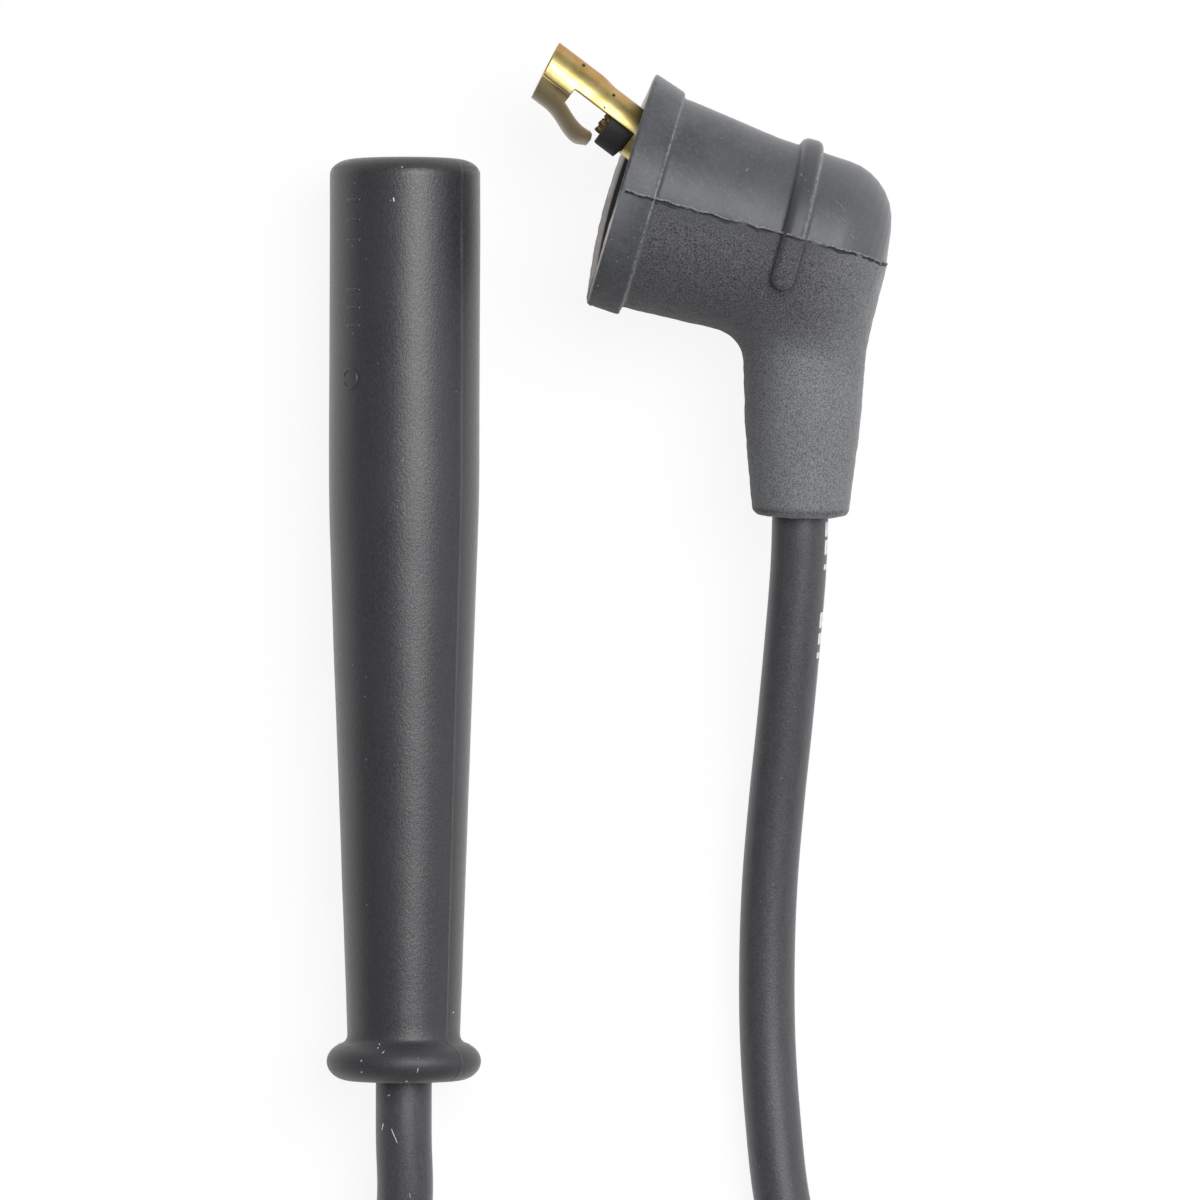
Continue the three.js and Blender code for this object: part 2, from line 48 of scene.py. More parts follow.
# Camera, in the photograph's place
CAMERA_AT = (-0.875, -4.78, 1100)
PICTURE_PLANE = 9.4  # height at which the picture is as wide as PICTURE_WIDTH
PICTURE_WIDTH = 150
SENSOR = 36

# Cable
CABLE_RADIUS = 3.5
CABLE_SIDES = 40
CABLE_STEP = 1.1
CORE_RADIUS = 2.5

# Straight boot: its axis along Y, depths from its mouth
BOOT_AT = np.array([-25.4, 50.3, 9.65])
BOOT_LENGTH = 115.1
BOOT_RADIUS = 9.4

# Elbow boot: its own y from the mouth inwards, x towards the neck, z up
LIP_RADIUS = 14.85
CUP_OFFSET = 0.4
RIB_FROM_MOUTH = 21.6
ELBOW_TILT = -math.atan2(1.15, RIB_FROM_MOUTH)
ELBOW_AT = np.array([1.77, 46.38, LIP_RADIUS * math.cos(ELBOW_TILT)])

# Rolled terminal: its own y from its mouth inwards, x to its open side, z up
ROLL_TURN = -19 * DEG
ROLL_AT = np.array([-6.4 + 15 * math.sin(ROLL_TURN), -15 * math.cos(ROLL_TURN), 0])
ROLL_CABLE_END = 10.85
BEND_FROM_ROLL = 41.45
BEND_ANGLE = 54.4 * DEG
BEND_RADIUS = 14
NECK_LENGTH = 30.8


def turn(axis, angle):
    return np.array(Matrix.Rotation(angle, 3, axis))


ELBOW_AXES = turn("Z", -108 * DEG) @ turn("X", ELBOW_TILT)
ROLL_AXES = turn("Z", ROLL_TURN)
ROLL_LINE = ROLL_AXES[:, 1]
CORNER = ROLL_AT + BEND_FROM_ROLL * ROLL_LINE
NECK_ANGLE = math.pi / 2 + ROLL_TURN - BEND_ANGLE
NECK_LINE = np.array([math.cos(NECK_ANGLE), math.sin(NECK_ANGLE), 0])


def from_elbow(points):
    return np.asarray(points, float) @ ELBOW_AXES.T + ELBOW_AT


def from_roll(points):
    return from_elbow(np.asarray(points, float) @ ROLL_AXES.T + ROLL_AT)


def linked(name, data):
    made = bpy.data.objects.new(name, data)
    bpy.context.scene.collection.objects.link(made)
    return made


# Meshes


def unit(vectors):
    return vectors / np.linalg.norm(vectors, axis=-1, keepdims=True)


def joined(*coordinates):
    """Points from their coordinates, each a number or an array."""
    return np.stack(np.broadcast_arrays(*coordinates), -1)


def grid_faces(rows, columns, wrap=True, close=False):
    """Quads of a grid of points. wrap closes its rows, close joins the last to the first."""
    index = np.arange(rows * columns).reshape(rows, columns)
    if wrap:
        index = np.hstack([index, index[:, :1]])
    if close:
        index = np.vstack([index, index[:1]])
    quads = [index[:-1, :-1], index[:-1, 1:], index[1:, 1:], index[1:, :-1]]
    return np.stack(quads, -1).reshape(-1, 4)


def tube_faces(rows, sides):
    """Faces of a closed tube of rows of points."""
    ring = np.arange(sides)
    return [*grid_faces(rows, sides), ring[::-1], (rows - 1) * sides + ring]


def gathered(parts):
    """Points and faces of several parts as one set."""
    points, faces, base = [], [], 0
    for some, sides in parts:
        points.append(some)
        faces += [[int(c) + base for c in side] for side in sides]
        base += len(some)
    return np.vstack(points), faces


def piece(name, points, faces, material, flow, smooth=True):
    """A mesh from points in millimetres. flow is kept on its points for the materials."""
    mesh = bpy.data.meshes.new(name)
    faces = [list(map(int, face)) for face in faces]
    mesh.from_pydata((points * MM).tolist(), [], faces)
    attribute = mesh.attributes.new("flow", "FLOAT_VECTOR", "POINT")
    attribute.data.foreach_set("vector", flow.astype(np.float32).ravel())
    mesh.materials.append(material)
    mesh.polygons.foreach_set("use_smooth", [smooth] * len(faces))
    if enclosed(points, faces) < 0:
        mesh.flip_normals()
    mesh.validate()
    mesh.update()
    made = linked(name, mesh)
    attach(made, "root")
    return made


def enclosed(points, faces):
    """Six times the signed volume of a closed mesh."""
    corners = np.array([(face[0], *pair) for face in faces for pair in zip(face[1:], face[2:])])
    a, b, c = (points[column] for column in corners.T)
    return (a * np.cross(b, c)).sum()


WAVES = 14


def wobble(points, wavelength, seed):
    """A smooth random value from -1 to 1 at each point."""
    rng = np.random.default_rng(seed)
    directions = unit(rng.normal(size=(WAVES, 3)))
    rates = directions * (2 * math.pi / wavelength) * rng.uniform(0.6, 1.5, WAVES)[:, None]
    phases = rng.uniform(0, 2 * math.pi, WAVES)
    return np.sin(points @ rates.T + phases).sum(-1) / math.sqrt(WAVES) / 1.4


def eased(value, low, high):
    t = np.clip((value - low) / (high - low), 0, 1)
    return t * t * (3 - 2 * t)


def smooth_curve(points, step):
    """Points about step apart on the centripetal curve through given points."""
    points = [np.asarray(p, float) for p in points]
    ends = [2 * points[0] - points[1], *points, 2 * points[-1] - points[-2]]
    made = [points[0]]
    for p0, p1, p2, p3 in zip(ends, ends[1:], ends[2:], ends[3:]):
        d0, d1, d2 = (math.sqrt(np.linalg.norm(b - a)) for a, b in ((p0, p1), (p1, p2), (p2, p3)))
        t1 = ((p1 - p0) / d0 - (p2 - p0) / (d0 + d1) + (p2 - p1) / d1) * d1
        t2 = ((p2 - p1) / d1 - (p3 - p1) / (d1 + d2) + (p3 - p2) / d2) * d1
        count = max(2, round(np.linalg.norm(p2 - p1) / step))
        for i in range(1, count + 1):
            t = i / count
            made.append(p1 + t1 * t + (3 * (p2 - p1) - 2 * t1 - t2) * t * t
                        + (2 * (p1 - p2) + t1 + t2) * t ** 3)
    return np.array(made)


def along(path):
    """Distance of each point from the start of a path."""
    return np.concatenate([[0], np.cumsum(np.linalg.norm(np.diff(path, axis=0), axis=1))])


def frames(path):
    """Unit directions up and to the side at each point of a path that is never upright."""
    forward = unit(np.gradient(path, axis=0))
    up = unit(np.array([0, 0, 1.0]) - forward[:, 2:3] * forward)
    return up, np.cross(forward, up)


# Materials


class Nodes:
    """The nodes of a material or a world, made by short calls."""

    def __init__(self, owner):
        owner.use_nodes = True
        self.tree = owner.node_tree
        self.tree.nodes.clear()

    def put(self, socket, value):
        if isinstance(value, bpy.types.NodeSocket):
            self.tree.links.new(value, socket)
        elif isinstance(value, tuple) and socket.type == "RGBA":
            socket.default_value = (*value, 1)
        else:
            socket.default_value = value

    def node(self, kind, inputs=(), **settings):
        """A node with its settings, and its inputs by name or number."""
        made = self.tree.nodes.new("ShaderNode" + kind)
        for key, value in settings.items():
            setattr(made, key, value)
        for key, value in dict(inputs).items():
            self.put(made.inputs[key], value)
        return made

    def mapped(self, vector, scale):
        return self.node("Mapping", {"Vector": vector, "Scale": scale}).outputs[0]

    def flow(self, scale=(1, 1, 1)):
        """The piece's own coordinates in millimetres, stretched by scale."""
        source = self.node("Attribute", attribute_name="flow")
        return self.mapped(source.outputs["Vector"], scale)

    def place(self):
        """Object coordinates in millimetres, for the solids that are kept."""
        return self.mapped(self.node("TexCoord").outputs["Object"], (1 / MM,) * 3)

    def value(self, name):
        """A value kept on the piece's points."""
        return self.node("Attribute", attribute_name=name).outputs["Fac"]

    def part(self, vector, axis):
        return self.node("SeparateXYZ", {0: vector}).outputs[axis]

    def noise(self, vector, scale, detail=3.0, roughness=0.55):
        return self.node("TexNoise", {"Vector": vector, "Scale": scale, "Detail": detail,
                                      "Roughness": roughness}).outputs[0]

    def span(self, value, low, high, start=0.0, end=1.0):
        """value from low to high becomes start to end, held outside."""
        return self.node("MapRange", enumerate((value, low, high, start, end))).outputs[0]

    def math(self, operation, *values):
        return self.node("Math", enumerate(values), operation=operation).outputs[0]

    def add(self, first, second):
        return self.math("ADD", first, second)

    def most(self, first, second):
        return self.math("MAXIMUM", first, second)

    def off(self, value, middle):
        """How far value is from middle."""
        return self.math("ABSOLUTE", self.math("SUBTRACT", value, middle))

    def both(self, *values):
        total = values[0]
        for value in values[1:]:
            total = self.math("MULTIPLY", total, value)
        return total

    def mix(self, share, first, second):
        return self.node("Mix", {0: share, 6: first, 7: second}, data_type="RGBA").outputs[2]

    def bump(self, height, distance, **before):
        return self.node("Bump", {"Height": height, "Distance": distance * MM,
                                  **before}).outputs[0]

    def specks(self, vector, scale, size, kept):
        """1 on small spots, one in each cell of the pattern of which the share kept stays."""
        cells = self.node("TexVoronoi", {"Vector": vector, "Scale": scale}, feature="F1")
        near = self.span(cells.outputs["Distance"], size, size * 0.6)
        pick = self.part(cells.outputs["Color"], "X")
        return self.both(near, self.math("LESS_THAN", pick, kept))


class Finish(Nodes):
    """A principled material."""

    def __init__(self, name, **sockets):
        self.material = bpy.data.materials.new(name)
        super().__init__(self.material)
        self.shader = self.node("BsdfPrincipled")
        self.node("OutputMaterial", {0: self.shader.outputs[0]})
        self.set(**sockets)

    def set(self, **sockets):
        for name, value in sockets.items():
            self.put(self.shader.inputs[name.replace("_", " ")], value)

    def tint(self, share, colour):
        self.tone = self.mix(share, self.tone, colour)

    def done(self, **sockets):
        self.set(Base_Color=self.tone, **sockets)
        return self.material


def boot_rubber(name="boot_rubber"):
    """Satin moulded rubber with a fine grain, dust specks and a duller mouth."""
    f = Finish(name, Specular_IOR_Level=0.72, Sheen_Weight=0.3, Sheen_Roughness=0.33)
    flow = f.flow()
    grain = f.noise(f.flow((3.4, 2.2, 3.4)), 1.0, 4.0, 0.68)
    broad = f.noise(f.flow((0.22, 0.08, 0.22)), 1.0, 3.0, 0.5)
    dust = f.specks(flow, 0.62, 0.075, 0.24)
    f.tone = f.mix(f.span(broad, 0.3, 0.7), (0.033, 0.0335, 0.037), (0.043, 0.044, 0.048))
    f.tint(f.span(grain, 0.42, 0.62), (0.05, 0.051, 0.056))
    depth = f.part(flow, "Y")
    mouth = f.span(depth, 1.55, 1.4)
    f.tint(f.both(mouth, 0.8), (0.046, 0.041, 0.043))
    f.tint(f.span(depth, 0.35, 0.12, 0, 0.7), (0.095, 0.052, 0.047))
    dull = f.most(f.span(depth, 108.5, 110.5), mouth)
    dust = f.most(dust, f.both(f.specks(flow, 1.25, 0.085, 0.3), dull))
    f.tint(f.both(dust, 0.55), (0.36, 0.36, 0.37))
    return f.done(Roughness=f.add(f.span(grain, 0.3, 0.7, 0.3, 0.43), f.both(dull, 0.14)),
                  Normal=f.bump(grain, 0.045, Normal=f.bump(f.noise(flow, 5.0, 2.0), 0.012)))


def elbow_rubber():
    """Dull moulded rubber, smooth on the side away from the neck and grainy on the other.

    The flow runs across the parting line, along the elbow's axis and up. The values are 1 in the
    cup (inside), on the rib, along its foot and round the neck's end (dark: painted shade at the
    rib's foot, a darker line at the neck's end), and along the rib's far edge (pale: a painted
    highlight).
    """
    f = Finish("elbow_rubber", Specular_IOR_Level=0.5, Sheen_Weight=0.4, Sheen_Roughness=0.36)
    flow = f.flow()
    across, depth, height = (f.part(flow, axis) for axis in "XYZ")
    fine = f.noise(flow, 2.6, 3.0, 0.6)
    grit = f.noise(flow, 5.2, 2.0, 0.7)
    grain = f.span(grit, 0.38, 0.6)
    streak = f.noise(f.flow((2.2, 2.2, 0.3)), 1.0, 3.0, 0.6)
    # The smooth side
    haze = f.span(f.noise(flow, 0.2, 4.0, 0.62), 0.34, 0.68)
    f.tone = f.mix(haze, (0.07, 0.073, 0.082), (0.108, 0.112, 0.124))
    f.tint(f.span(depth, 9, 27, 0, 0.62), (0.14, 0.145, 0.158))
    f.tint(f.span(streak, 0.5, 0.72, 0, 0.45), (0.175, 0.181, 0.196))
    f.tint(f.span(grit, 0.36, 0.64, 0.34, 0), (0.052, 0.054, 0.061))
    f.tint(f.both(f.value("rib"), 0.55), (0.048, 0.049, 0.055))
    smooth = f.tone
    # The grainy side: calm beside the parting line, pale at its neck and far end, plain on the lip
    f.tone = f.mix(grain, (0.03, 0.031, 0.035), (0.152, 0.154, 0.164))
    f.tint(f.span(across, 2.6, 0.4, 0, 0.6), (0.07, 0.072, 0.079))
    neck = f.both(f.span(across, 7, 15), f.span(depth, 16, 27))
    f.tint(f.most(neck, f.span(depth, 23, 32, 0, 0.8)),
           f.mix(grain, (0.115, 0.118, 0.128), (0.275, 0.28, 0.292)))
    lip = f.mix(f.span(fine, 0.36, 0.62), (0.066, 0.068, 0.075), (0.098, 0.101, 0.11))
    lip = f.mix(f.both(f.span(depth, 3.2, 0.4), f.span(across, 9, 2)), lip, (0.165, 0.17, 0.184))
    f.tint(f.span(depth, 4.7, 4.3, 0, 0.85), lip)
    side = f.span(across, -0.12, 0.12)
    f.tone = f.mix(side, smooth, f.tone)
    # Painted highlights on the lip's back edge and the rib's far edge, dust, the cup, a painted
    # highlight along the front of the mouth, and painted shade along the rib's foot
    inside = f.value("inside")
    outside = f.math("SUBTRACT", 1.0, inside)
    # Painted highlight: a pale line on the lip's back edge
    lip_edge_highlight = f.both(f.span(depth, 3.92, 4.02), f.span(depth, 4.22, 4.12), outside,
                  f.span(f.off(across, -3.0), 13, 3, 0.3, 1))
    edge = f.most(lip_edge_highlight, f.value("pale"))
    f.tint(f.both(edge, f.span(fine, 0.35, 0.6, 0.1, 0.8)), (0.36, 0.365, 0.38))
    f.tint(f.both(f.specks(flow, 0.8, 0.08, 0.22), 0.6), (0.42, 0.42, 0.43))
    f.tint(inside, (0.045, 0.043, 0.043))
    # Painted highlight: a near white line along the front of the mouth
    mouth_front_highlight = f.most(f.both(f.span(height, 0, 3), f.span(across, 0.5, 5), outside),
                      f.span(height, -3, -6))
    f.tint(f.both(f.span(depth, 0.32, 0.18), mouth_front_highlight), (0.84, 0.8, 0.77))
    # Painted shade along the rib's foot, and a darker line round the neck's end
    f.tint(f.both(f.value("dark"), 0.72), (0.016, 0.016, 0.018))
    return f.done(Roughness=f.span(side, 0, 1, 0.46, 0.72),
                  Normal=f.bump(f.mix(side, f.both(fine, 0.2), f.add(fine, grit)), 0.05))


def parting_rubber(name="parting_rubber"):
    """Torn flash, pale edged, painted shade on one side, near black in its crack where x is 0."""
    f = Finish(name, Specular_IOR_Level=0.4)
    flow = f.flow()
    fine = f.noise(flow, 3.5, 3.0, 0.7)
    f.tone = f.mix(f.span(fine, 0.4, 0.66), (0.12, 0.122, 0.13), (0.36, 0.364, 0.375))
    across = f.part(flow, "X")
    # Painted shade on the ridge's far side, from x 0.16 to 0.6
    f.tint(f.both(f.span(across, 0.08, 0.16), f.span(across, 0.8, 0.6)), (0.07, 0.072, 0.078))
    # Painted shade: a near black line in the crack between the ridges
    crack = f.span(f.off(across, 0.04), 0.15, 0.1)
    f.tint(crack, (0.008, 0.008, 0.009))
    return f.done(Roughness=f.span(fine, 0.3, 0.7, 0.6, 0.8), Normal=f.bump(fine, 0.06))


def cable_jacket():
    """Extruded rubber with a fine mottle, faint streaks along the cable and pale specks."""
    f = Finish("cable_jacket", Specular_IOR_Level=0.72, Sheen_Weight=0.26, Sheen_Roughness=0.35)
    flow = f.flow()
    streak = f.noise(f.flow((1.2, 1.2, 0.3)), 1.0, 4.0, 0.6)
    fine = f.noise(flow, 4.2, 3.0, 0.7)
    f.tone = f.mix(f.span(streak, 0.3, 0.7), (0.07, 0.07, 0.079), (0.092, 0.093, 0.103))
    f.tint(f.span(fine, 0.38, 0.64, 0.62, 0), (0.036, 0.036, 0.042))
    dust = f.most(f.specks(flow, 0.75, 0.07, 0.3), f.specks(flow, 1.3, 0.075, 0.22))
    f.tint(f.both(dust, 0.6), (0.36, 0.36, 0.37))
    cut = f.span(f.part(flow, "Z"), CUT_END - 5, CUT_END - 4)
    f.tint(cut, (0.03, 0.03, 0.033))
    return f.done(Roughness=f.add(f.span(fine, 0.3, 0.7, 0.36, 0.48), f.both(cut, 0.35)),
                  Normal=f.bump(f.add(f.both(streak, 0.5), fine), 0.045))


def strand_fibre():
    """Strands of the cable's core, each its own shade from tan to dark brown."""
    f = Finish("strand_fibre", Specular_IOR_Level=0.3)
    flow = f.flow()
    shade = f.noise(f.flow((2.2, 0.3, 2.2)), 1.0, 2.0, 0.5)
    fine = f.noise(flow, 9.0, 2.0)
    f.tone = f.mix(f.span(shade, 0.4, 0.6), (0.13, 0.092, 0.046), (0.33, 0.23, 0.105))
    return f.done(Roughness=f.span(fine, 0.3, 0.7, 0.6, 0.85), Normal=f.bump(fine, 0.04))


# Pits of the terminal: depth, x and size
PITS = ((4.1, -3.24, 0.3), (9.3, -2.5, 0.26), (9.3, -0.53, 0.2))


def brass():
    """Rolled brass sheet: drawn lines, a warm film on its far side, a tan one on its open side."""
    f = Finish("terminal_brass")
    where = f.flow()
    x, depth, z = (f.part(where, axis) for axis in "XYZ")
    lines = f.noise(f.flow((1.6, 0.35, 1.6)), 1.0, 4.0, 0.6)
    film = f.noise(where, 0.5, 4.0, 0.65)
    f.tone = f.mix(f.span(film, 0.35, 0.7), (0.62, 0.48, 0.16), (0.73, 0.62, 0.31))
    back = f.both(f.span(f.add(x, f.both(film, 1.4)), -1.3, -2.9), 0.88)
    f.tint(back, (0.5, 0.235, 0.055))
    dull = f.both(f.span(x, 0.5, 1.7), f.span(depth, 11.6, 11.2))
    # Painted reflection: the tan film turns pale towards its lower edge and darker at its top
    tan = f.mix(f.span(z, 2.7, 0.8), (0.34, 0.265, 0.155), (0.86, 0.8, 0.68))
    f.tint(f.both(dull, 0.92), tan)
    seam = f.both(f.span(x, 0.8, 0.9), f.span(x, 1.7, 1.1), f.span(depth, 0.8, 3.2),
                  f.span(depth, 5.2, 5.0), 0.85)
    f.tint(seam, (0.085, 0.058, 0.03))
    for at, across, size in PITS:
        away, aside = f.off(depth, at), f.off(x, across)
        gap = f.math("SQRT", f.add(f.both(away, away), f.both(aside, aside)))
        spot = f.both(f.span(gap, size, size * 0.55), f.span(z, 0.0, 0.4))
        f.tint(spot, (0.045, 0.024, 0.01))
    f.tint(f.specks(where, 0.55, 0.07, 0.2), (0.06, 0.03, 0.012))
    f.tint(f.both(f.specks(where, 2.0, 0.13, 0.22), 0.55), (0.22, 0.15, 0.05))
    return f.done(Metallic=f.span(dull, 0, 1, 1, 0.45),
                  Roughness=f.add(f.span(lines, 0.3, 0.7, 0.34, 0.46), f.both(dull, 0.16)),
                  Normal=f.bump(lines, 0.004))


def mottled(name, noise, share, tones, roughness, bump, grain=None, kept=False, **sockets):
    """A plain finish of two tones, for a piece or for a solid that is kept."""
    f = Finish(name, **sockets)
    where = f.place() if kept else f.flow()
    mottle = f.noise(where, *noise)
    f.tone = f.mix(f.span(mottle, *share), *tones)
    relief = f.noise(where, grain) if grain else mottle
    return f.done(Roughness=f.span(mottle, 0.3, 0.7, *roughness), Normal=f.bump(relief, bump))


def print_white(name="print_white"):
    return mottled(name, (2.6, 4.0, 0.7), (0.56, 0.72), ((0.88, 0.89, 0.9), (0.34, 0.34, 0.35)),
                   (0.45, 0.6), 0.01, Specular_IOR_Level=0.4)


def tie_nylon():
    return mottled("tie_nylon", (1.2, 3.0, 0.6), (0, 1),
                   ((0.012, 0.012, 0.013), (0.028, 0.028, 0.03)), (0.34, 0.5), 0.012, grain=6.0,
                   Specular_IOR_Level=0.5)


def kept_finishes():
    """The finish of each solid that is kept."""
    return {
        "plug_terminal": mottled(
            "inner_brass", (0.5, 4.0, 0.65), (0.35, 0.7), ((0.78, 0.56, 0.23), (0.86, 0.68, 0.36)),
            (0.22, 0.34), 0.02, kept=True, Metallic=1.0),
        "plug_terminal_clip": mottled(
            "spring_steel", (2.5, 3.0), (0, 1), ((0.42, 0.42, 0.43), (0.62, 0.61, 0.59)),
            (0.25, 0.42), 0.01, kept=True, Metallic=1.0),
        "plug_end_core": mottled(
            "core_fibre", (3.0, 3.0, 0.6), (0.42, 0.6),
            ((0.055, 0.035, 0.018), (0.34, 0.22, 0.095)), (0.62, 0.85), 0.05, grain=8.0, kept=True,
            Specular_IOR_Level=0.3)}


# Camera


def make_camera():
    lens = bpy.data.cameras.new("camera")
    lens.sensor_width = SENSOR
    lens.lens = SENSOR * (CAMERA_AT[2] - PICTURE_PLANE) / PICTURE_WIDTH
    lens.clip_start, lens.clip_end = 0.01, 20
    made = linked("camera", lens)
    made.location = [v * MM for v in CAMERA_AT]
    bpy.context.scene.camera = made


make_camera()

# Cable route, as in the solids

FROM_PLUG_BOOT = [
    (-25.4, -72, 9.45), (-25.3, -80, 8.5), (-26.6, -89.5, 6.95), (-30.2, -99.5, 5.2),
    (-34.2, -109.5, 3.9), (-36.4, -118.5, 3.5),
]
TO_ELBOW = [
    (34.6, -116, 3.5), (31.2, -106, 3.5), (27.1, -97, 3.5), (24, -88.5, 3.5),
    (21.95, -79.8, 3.5), (20.85, -70, 3.5), (20.2, -60, 3.6), (20.1, -50, 4.2),
    (20.45, -40, 5.3), (21.25, -30, 6.9), (22.25, -20, 8.8), (23.15, -10, 10.7),
    (23.85, -1, 12.1),
]
IN_PLUG_BOOT = (62, 90, BOOT_LENGTH)  # depths
COIL_AT = (3.1, -126.8)
COIL_OUTER = 40
COIL_TURNS = 1.5
TURN_PITCH = 7.2
COIL_POINTS_PER_TURN = 20
CROSSING_RISE = 7.3
CROSSING_RAMP = (414, 18, 65)  # degrees: middle, half its flat and its ramp
TIE_THICKNESS = 0.8
TIE_CLEARANCE = 0.5
TIE_RISE = TIE_THICKNESS + TIE_CLEARANCE
TIE_AT, TIE_RAMP = 270, 60  # degrees


def hump(angle, middle, flat, ramp):
    """1 within flat of the middle, easing to 0 over the ramp."""
    past = min(max((abs(angle - middle) - flat) / ramp, 0), 1)
    return (1 + math.cos(math.pi * past)) / 2


def coil_points():
    points = []
    for i in range(round(COIL_TURNS * COIL_POINTS_PER_TURN) + 1):
        angle = 180 + 360 * i / COIL_POINTS_PER_TURN
        radius = COIL_OUTER - TURN_PITCH * min(max(angle / 180 - 2, 0), 1)
        height = CABLE_RADIUS + CROSSING_RISE * hump(angle, *CROSSING_RAMP)
        height += TIE_RISE * (hump(angle, TIE_AT, 0, TIE_RAMP)
                              + hump(angle, TIE_AT + 360, 0, TIE_RAMP))
        points.append((COIL_AT[0] + radius * math.cos(angle * DEG),
                       COIL_AT[1] + radius * math.sin(angle * DEG), height))
    return points


def elbow_route():
    """The cable's line in the elbow's own frame, from its cut end to the end of the neck."""
    tangent = BEND_RADIUS * math.tan(BEND_ANGLE / 2)
    start = CORNER - tangent * ROLL_LINE
    centre = start + BEND_RADIUS * ROLL_AXES[:, 0]
    straight = BEND_FROM_ROLL - tangent - ROLL_CABLE_END
    line = [ROLL_AT + ROLL_LINE * (ROLL_CABLE_END + share * straight) for share in (0, 0.35, 0.7)]
    angles = [math.pi + ROLL_TURN - BEND_ANGLE * i / 5 for i in range(6)]
    bend = [centre + BEND_RADIUS * np.array([math.cos(a), math.sin(a), 0]) for a in angles]
    neck = [CORNER + NECK_LINE * (tangent + share * (NECK_LENGTH - tangent)) for share in (0.5, 1)]
    return np.array([*line, *bend, *neck])


def whole_route():
    in_boot = [BOOT_AT - (0, depth, 0) for depth in IN_PLUG_BOOT]
    in_elbow = from_elbow(elbow_route()[::-1])
    return smooth_curve([*in_boot, *FROM_PLUG_BOOT, *coil_points(), *TO_ELBOW, *in_elbow],
                        CABLE_STEP)


ROUTE = whole_route()
ROUTE_FRAMES = frames(ROUTE)
ROUTE_LENGTH = along(ROUTE)


def cable_point(distance, angle, radius):
    """A point at a distance along the cable, at an angle from its top, and its flow value."""
    place, up, side = (joined(*(np.interp(distance, ROUTE_LENGTH, column) for column in part.T))
                       for part in (ROUTE, *ROUTE_FRAMES))
    outwards = up * np.cos(angle)[..., None] + side * np.sin(angle)[..., None]
    return (place + outwards * np.asarray(radius)[..., None],
            joined(radius * np.sin(angle), radius * np.cos(angle), distance))


# Distances along the cable
BOOT_PART = IN_PLUG_BOOT[1] - IN_PLUG_BOOT[0]
BOOT_END = BOOT_LENGTH - IN_PLUG_BOOT[0]
CUT_END = ROUTE_LENGTH[-1]
JACKET = cable_jacket()

# Crimp and half tube of the rolled terminal, their ramps as distances back from the cut end
CRIMP_SQUEEZE = 0.4
CRIMP_FLAT = 0.25  # share by which the crimp is flattened on its open side
CRIMP_ON, CRIMP_OFF = (3.0, 3.4), (14.8, 16.2)
SHELL_ON = (3.2, 3.6)


def crimped(distance):
    """1 where the crimp holds the jacket, easing to 0."""
    past = CUT_END - distance
    return eased(past, *CRIMP_ON) * (1 - eased(past, *CRIMP_OFF))


def cable_stretch(name, start, end, past_end=()):
    """The jacket from start to end along the cable, and on through (radius, distance) rows."""
    distances = np.linspace(start, end, max(3, round((end - start) / CABLE_STEP)))
    near_crimp = CUT_END - np.arange(18, 0.5, -0.3)
    distances = np.union1d(distances, near_crimp[near_crimp < end])
    rows = [(0.4, start), (CABLE_RADIUS - 0.1, start),
            *zip(CABLE_RADIUS - CRIMP_SQUEEZE * crimped(distances), distances),
            *(past_end or [(CABLE_RADIUS - 0.1, end), (0.4, end)])]
    angles = np.linspace(0, 2 * math.pi, CABLE_SIDES, endpoint=False)
    radius, distance = (np.repeat(column, CABLE_SIDES) for column in np.array(rows).T)
    around = np.tile(angles, len(rows))
    in_shell = (1 - eased(CUT_END - distance, *SHELL_ON)) * (np.sin(around) > -0.02)
    radius = np.minimum(radius, CABLE_RADIUS - CRIMP_SQUEEZE * in_shell)
    radius *= 1 - (CRIMP_FLAT + 0.03) * crimped(distance) * np.maximum(-np.sin(around), 0)
    points, flow = cable_point(distance, around, radius)
    return piece(name, points, tube_faces(len(rows), CABLE_SIDES), JACKET, flow)


def make_cable():
    cut = [(CABLE_RADIUS - 0.05, CUT_END - 0.08), (CABLE_RADIUS - 0.14, CUT_END),
           (CORE_RADIUS + 0.12, CUT_END), (CORE_RADIUS, CUT_END - 0.1),
           (CORE_RADIUS, CUT_END - 0.5), (0.4, CUT_END - 0.5)]
    run = cable_stretch("cable_run", BOOT_PART, CUT_END - 0.3, cut)
    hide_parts("ignition_cable")
    cable_stretch("cable_in_plug_boot", 0, BOOT_PART)
    return run


CABLE = make_cable()


# Straight boot

BOOT_COLUMNS = 150
BOOT_BOW = 0.17
SEAM_ANGLE = 49.5 * DEG  # of the parting line, to the right of the top
SEAM_WIDTH = 0.34
SEAM_HEIGHT = 0.07
SLEEVE_END, SLEEVE_END_RADIUS = 109, 7.05
TAPER_START = 43
TAPER_SOFTNESS = 5.0


def arc(radius, along_axis, radial, axial, start, end, steps):
    angles = np.linspace(start * DEG, end * DEG, steps + 1)
    return [(radius + radial * math.cos(a), along_axis + axial * math.sin(a)) for a in angles]


def refined(outline, step):
    """An outline with its long stretches divided."""
    made = [outline[0]]
    for (r0, d0), (r1, d1) in zip(outline, outline[1:]):
        count = max(1, round(math.hypot(r1 - r0, d1 - d0) / step))
        made += [(r0 + (r1 - r0) * i / count, d0 + (d1 - d0) * i / count)
                 for i in range(1, count + 1)]
    return made


def sleeve_radius(depth):
    """Radius of the straight boot's outside between its mouth and its collar."""
    slope_down = (BOOT_RADIUS - SLEEVE_END_RADIUS) / (SLEEVE_END - TAPER_START)
    past = depth - TAPER_START
    eased_in = np.clip(past + TAPER_SOFTNESS, 0, 2 * TAPER_SOFTNESS) ** 2 / (4 * TAPER_SOFTNESS)
    return BOOT_RADIUS - slope_down * (eased_in + np.maximum(past - TAPER_SOFTNESS, 0))


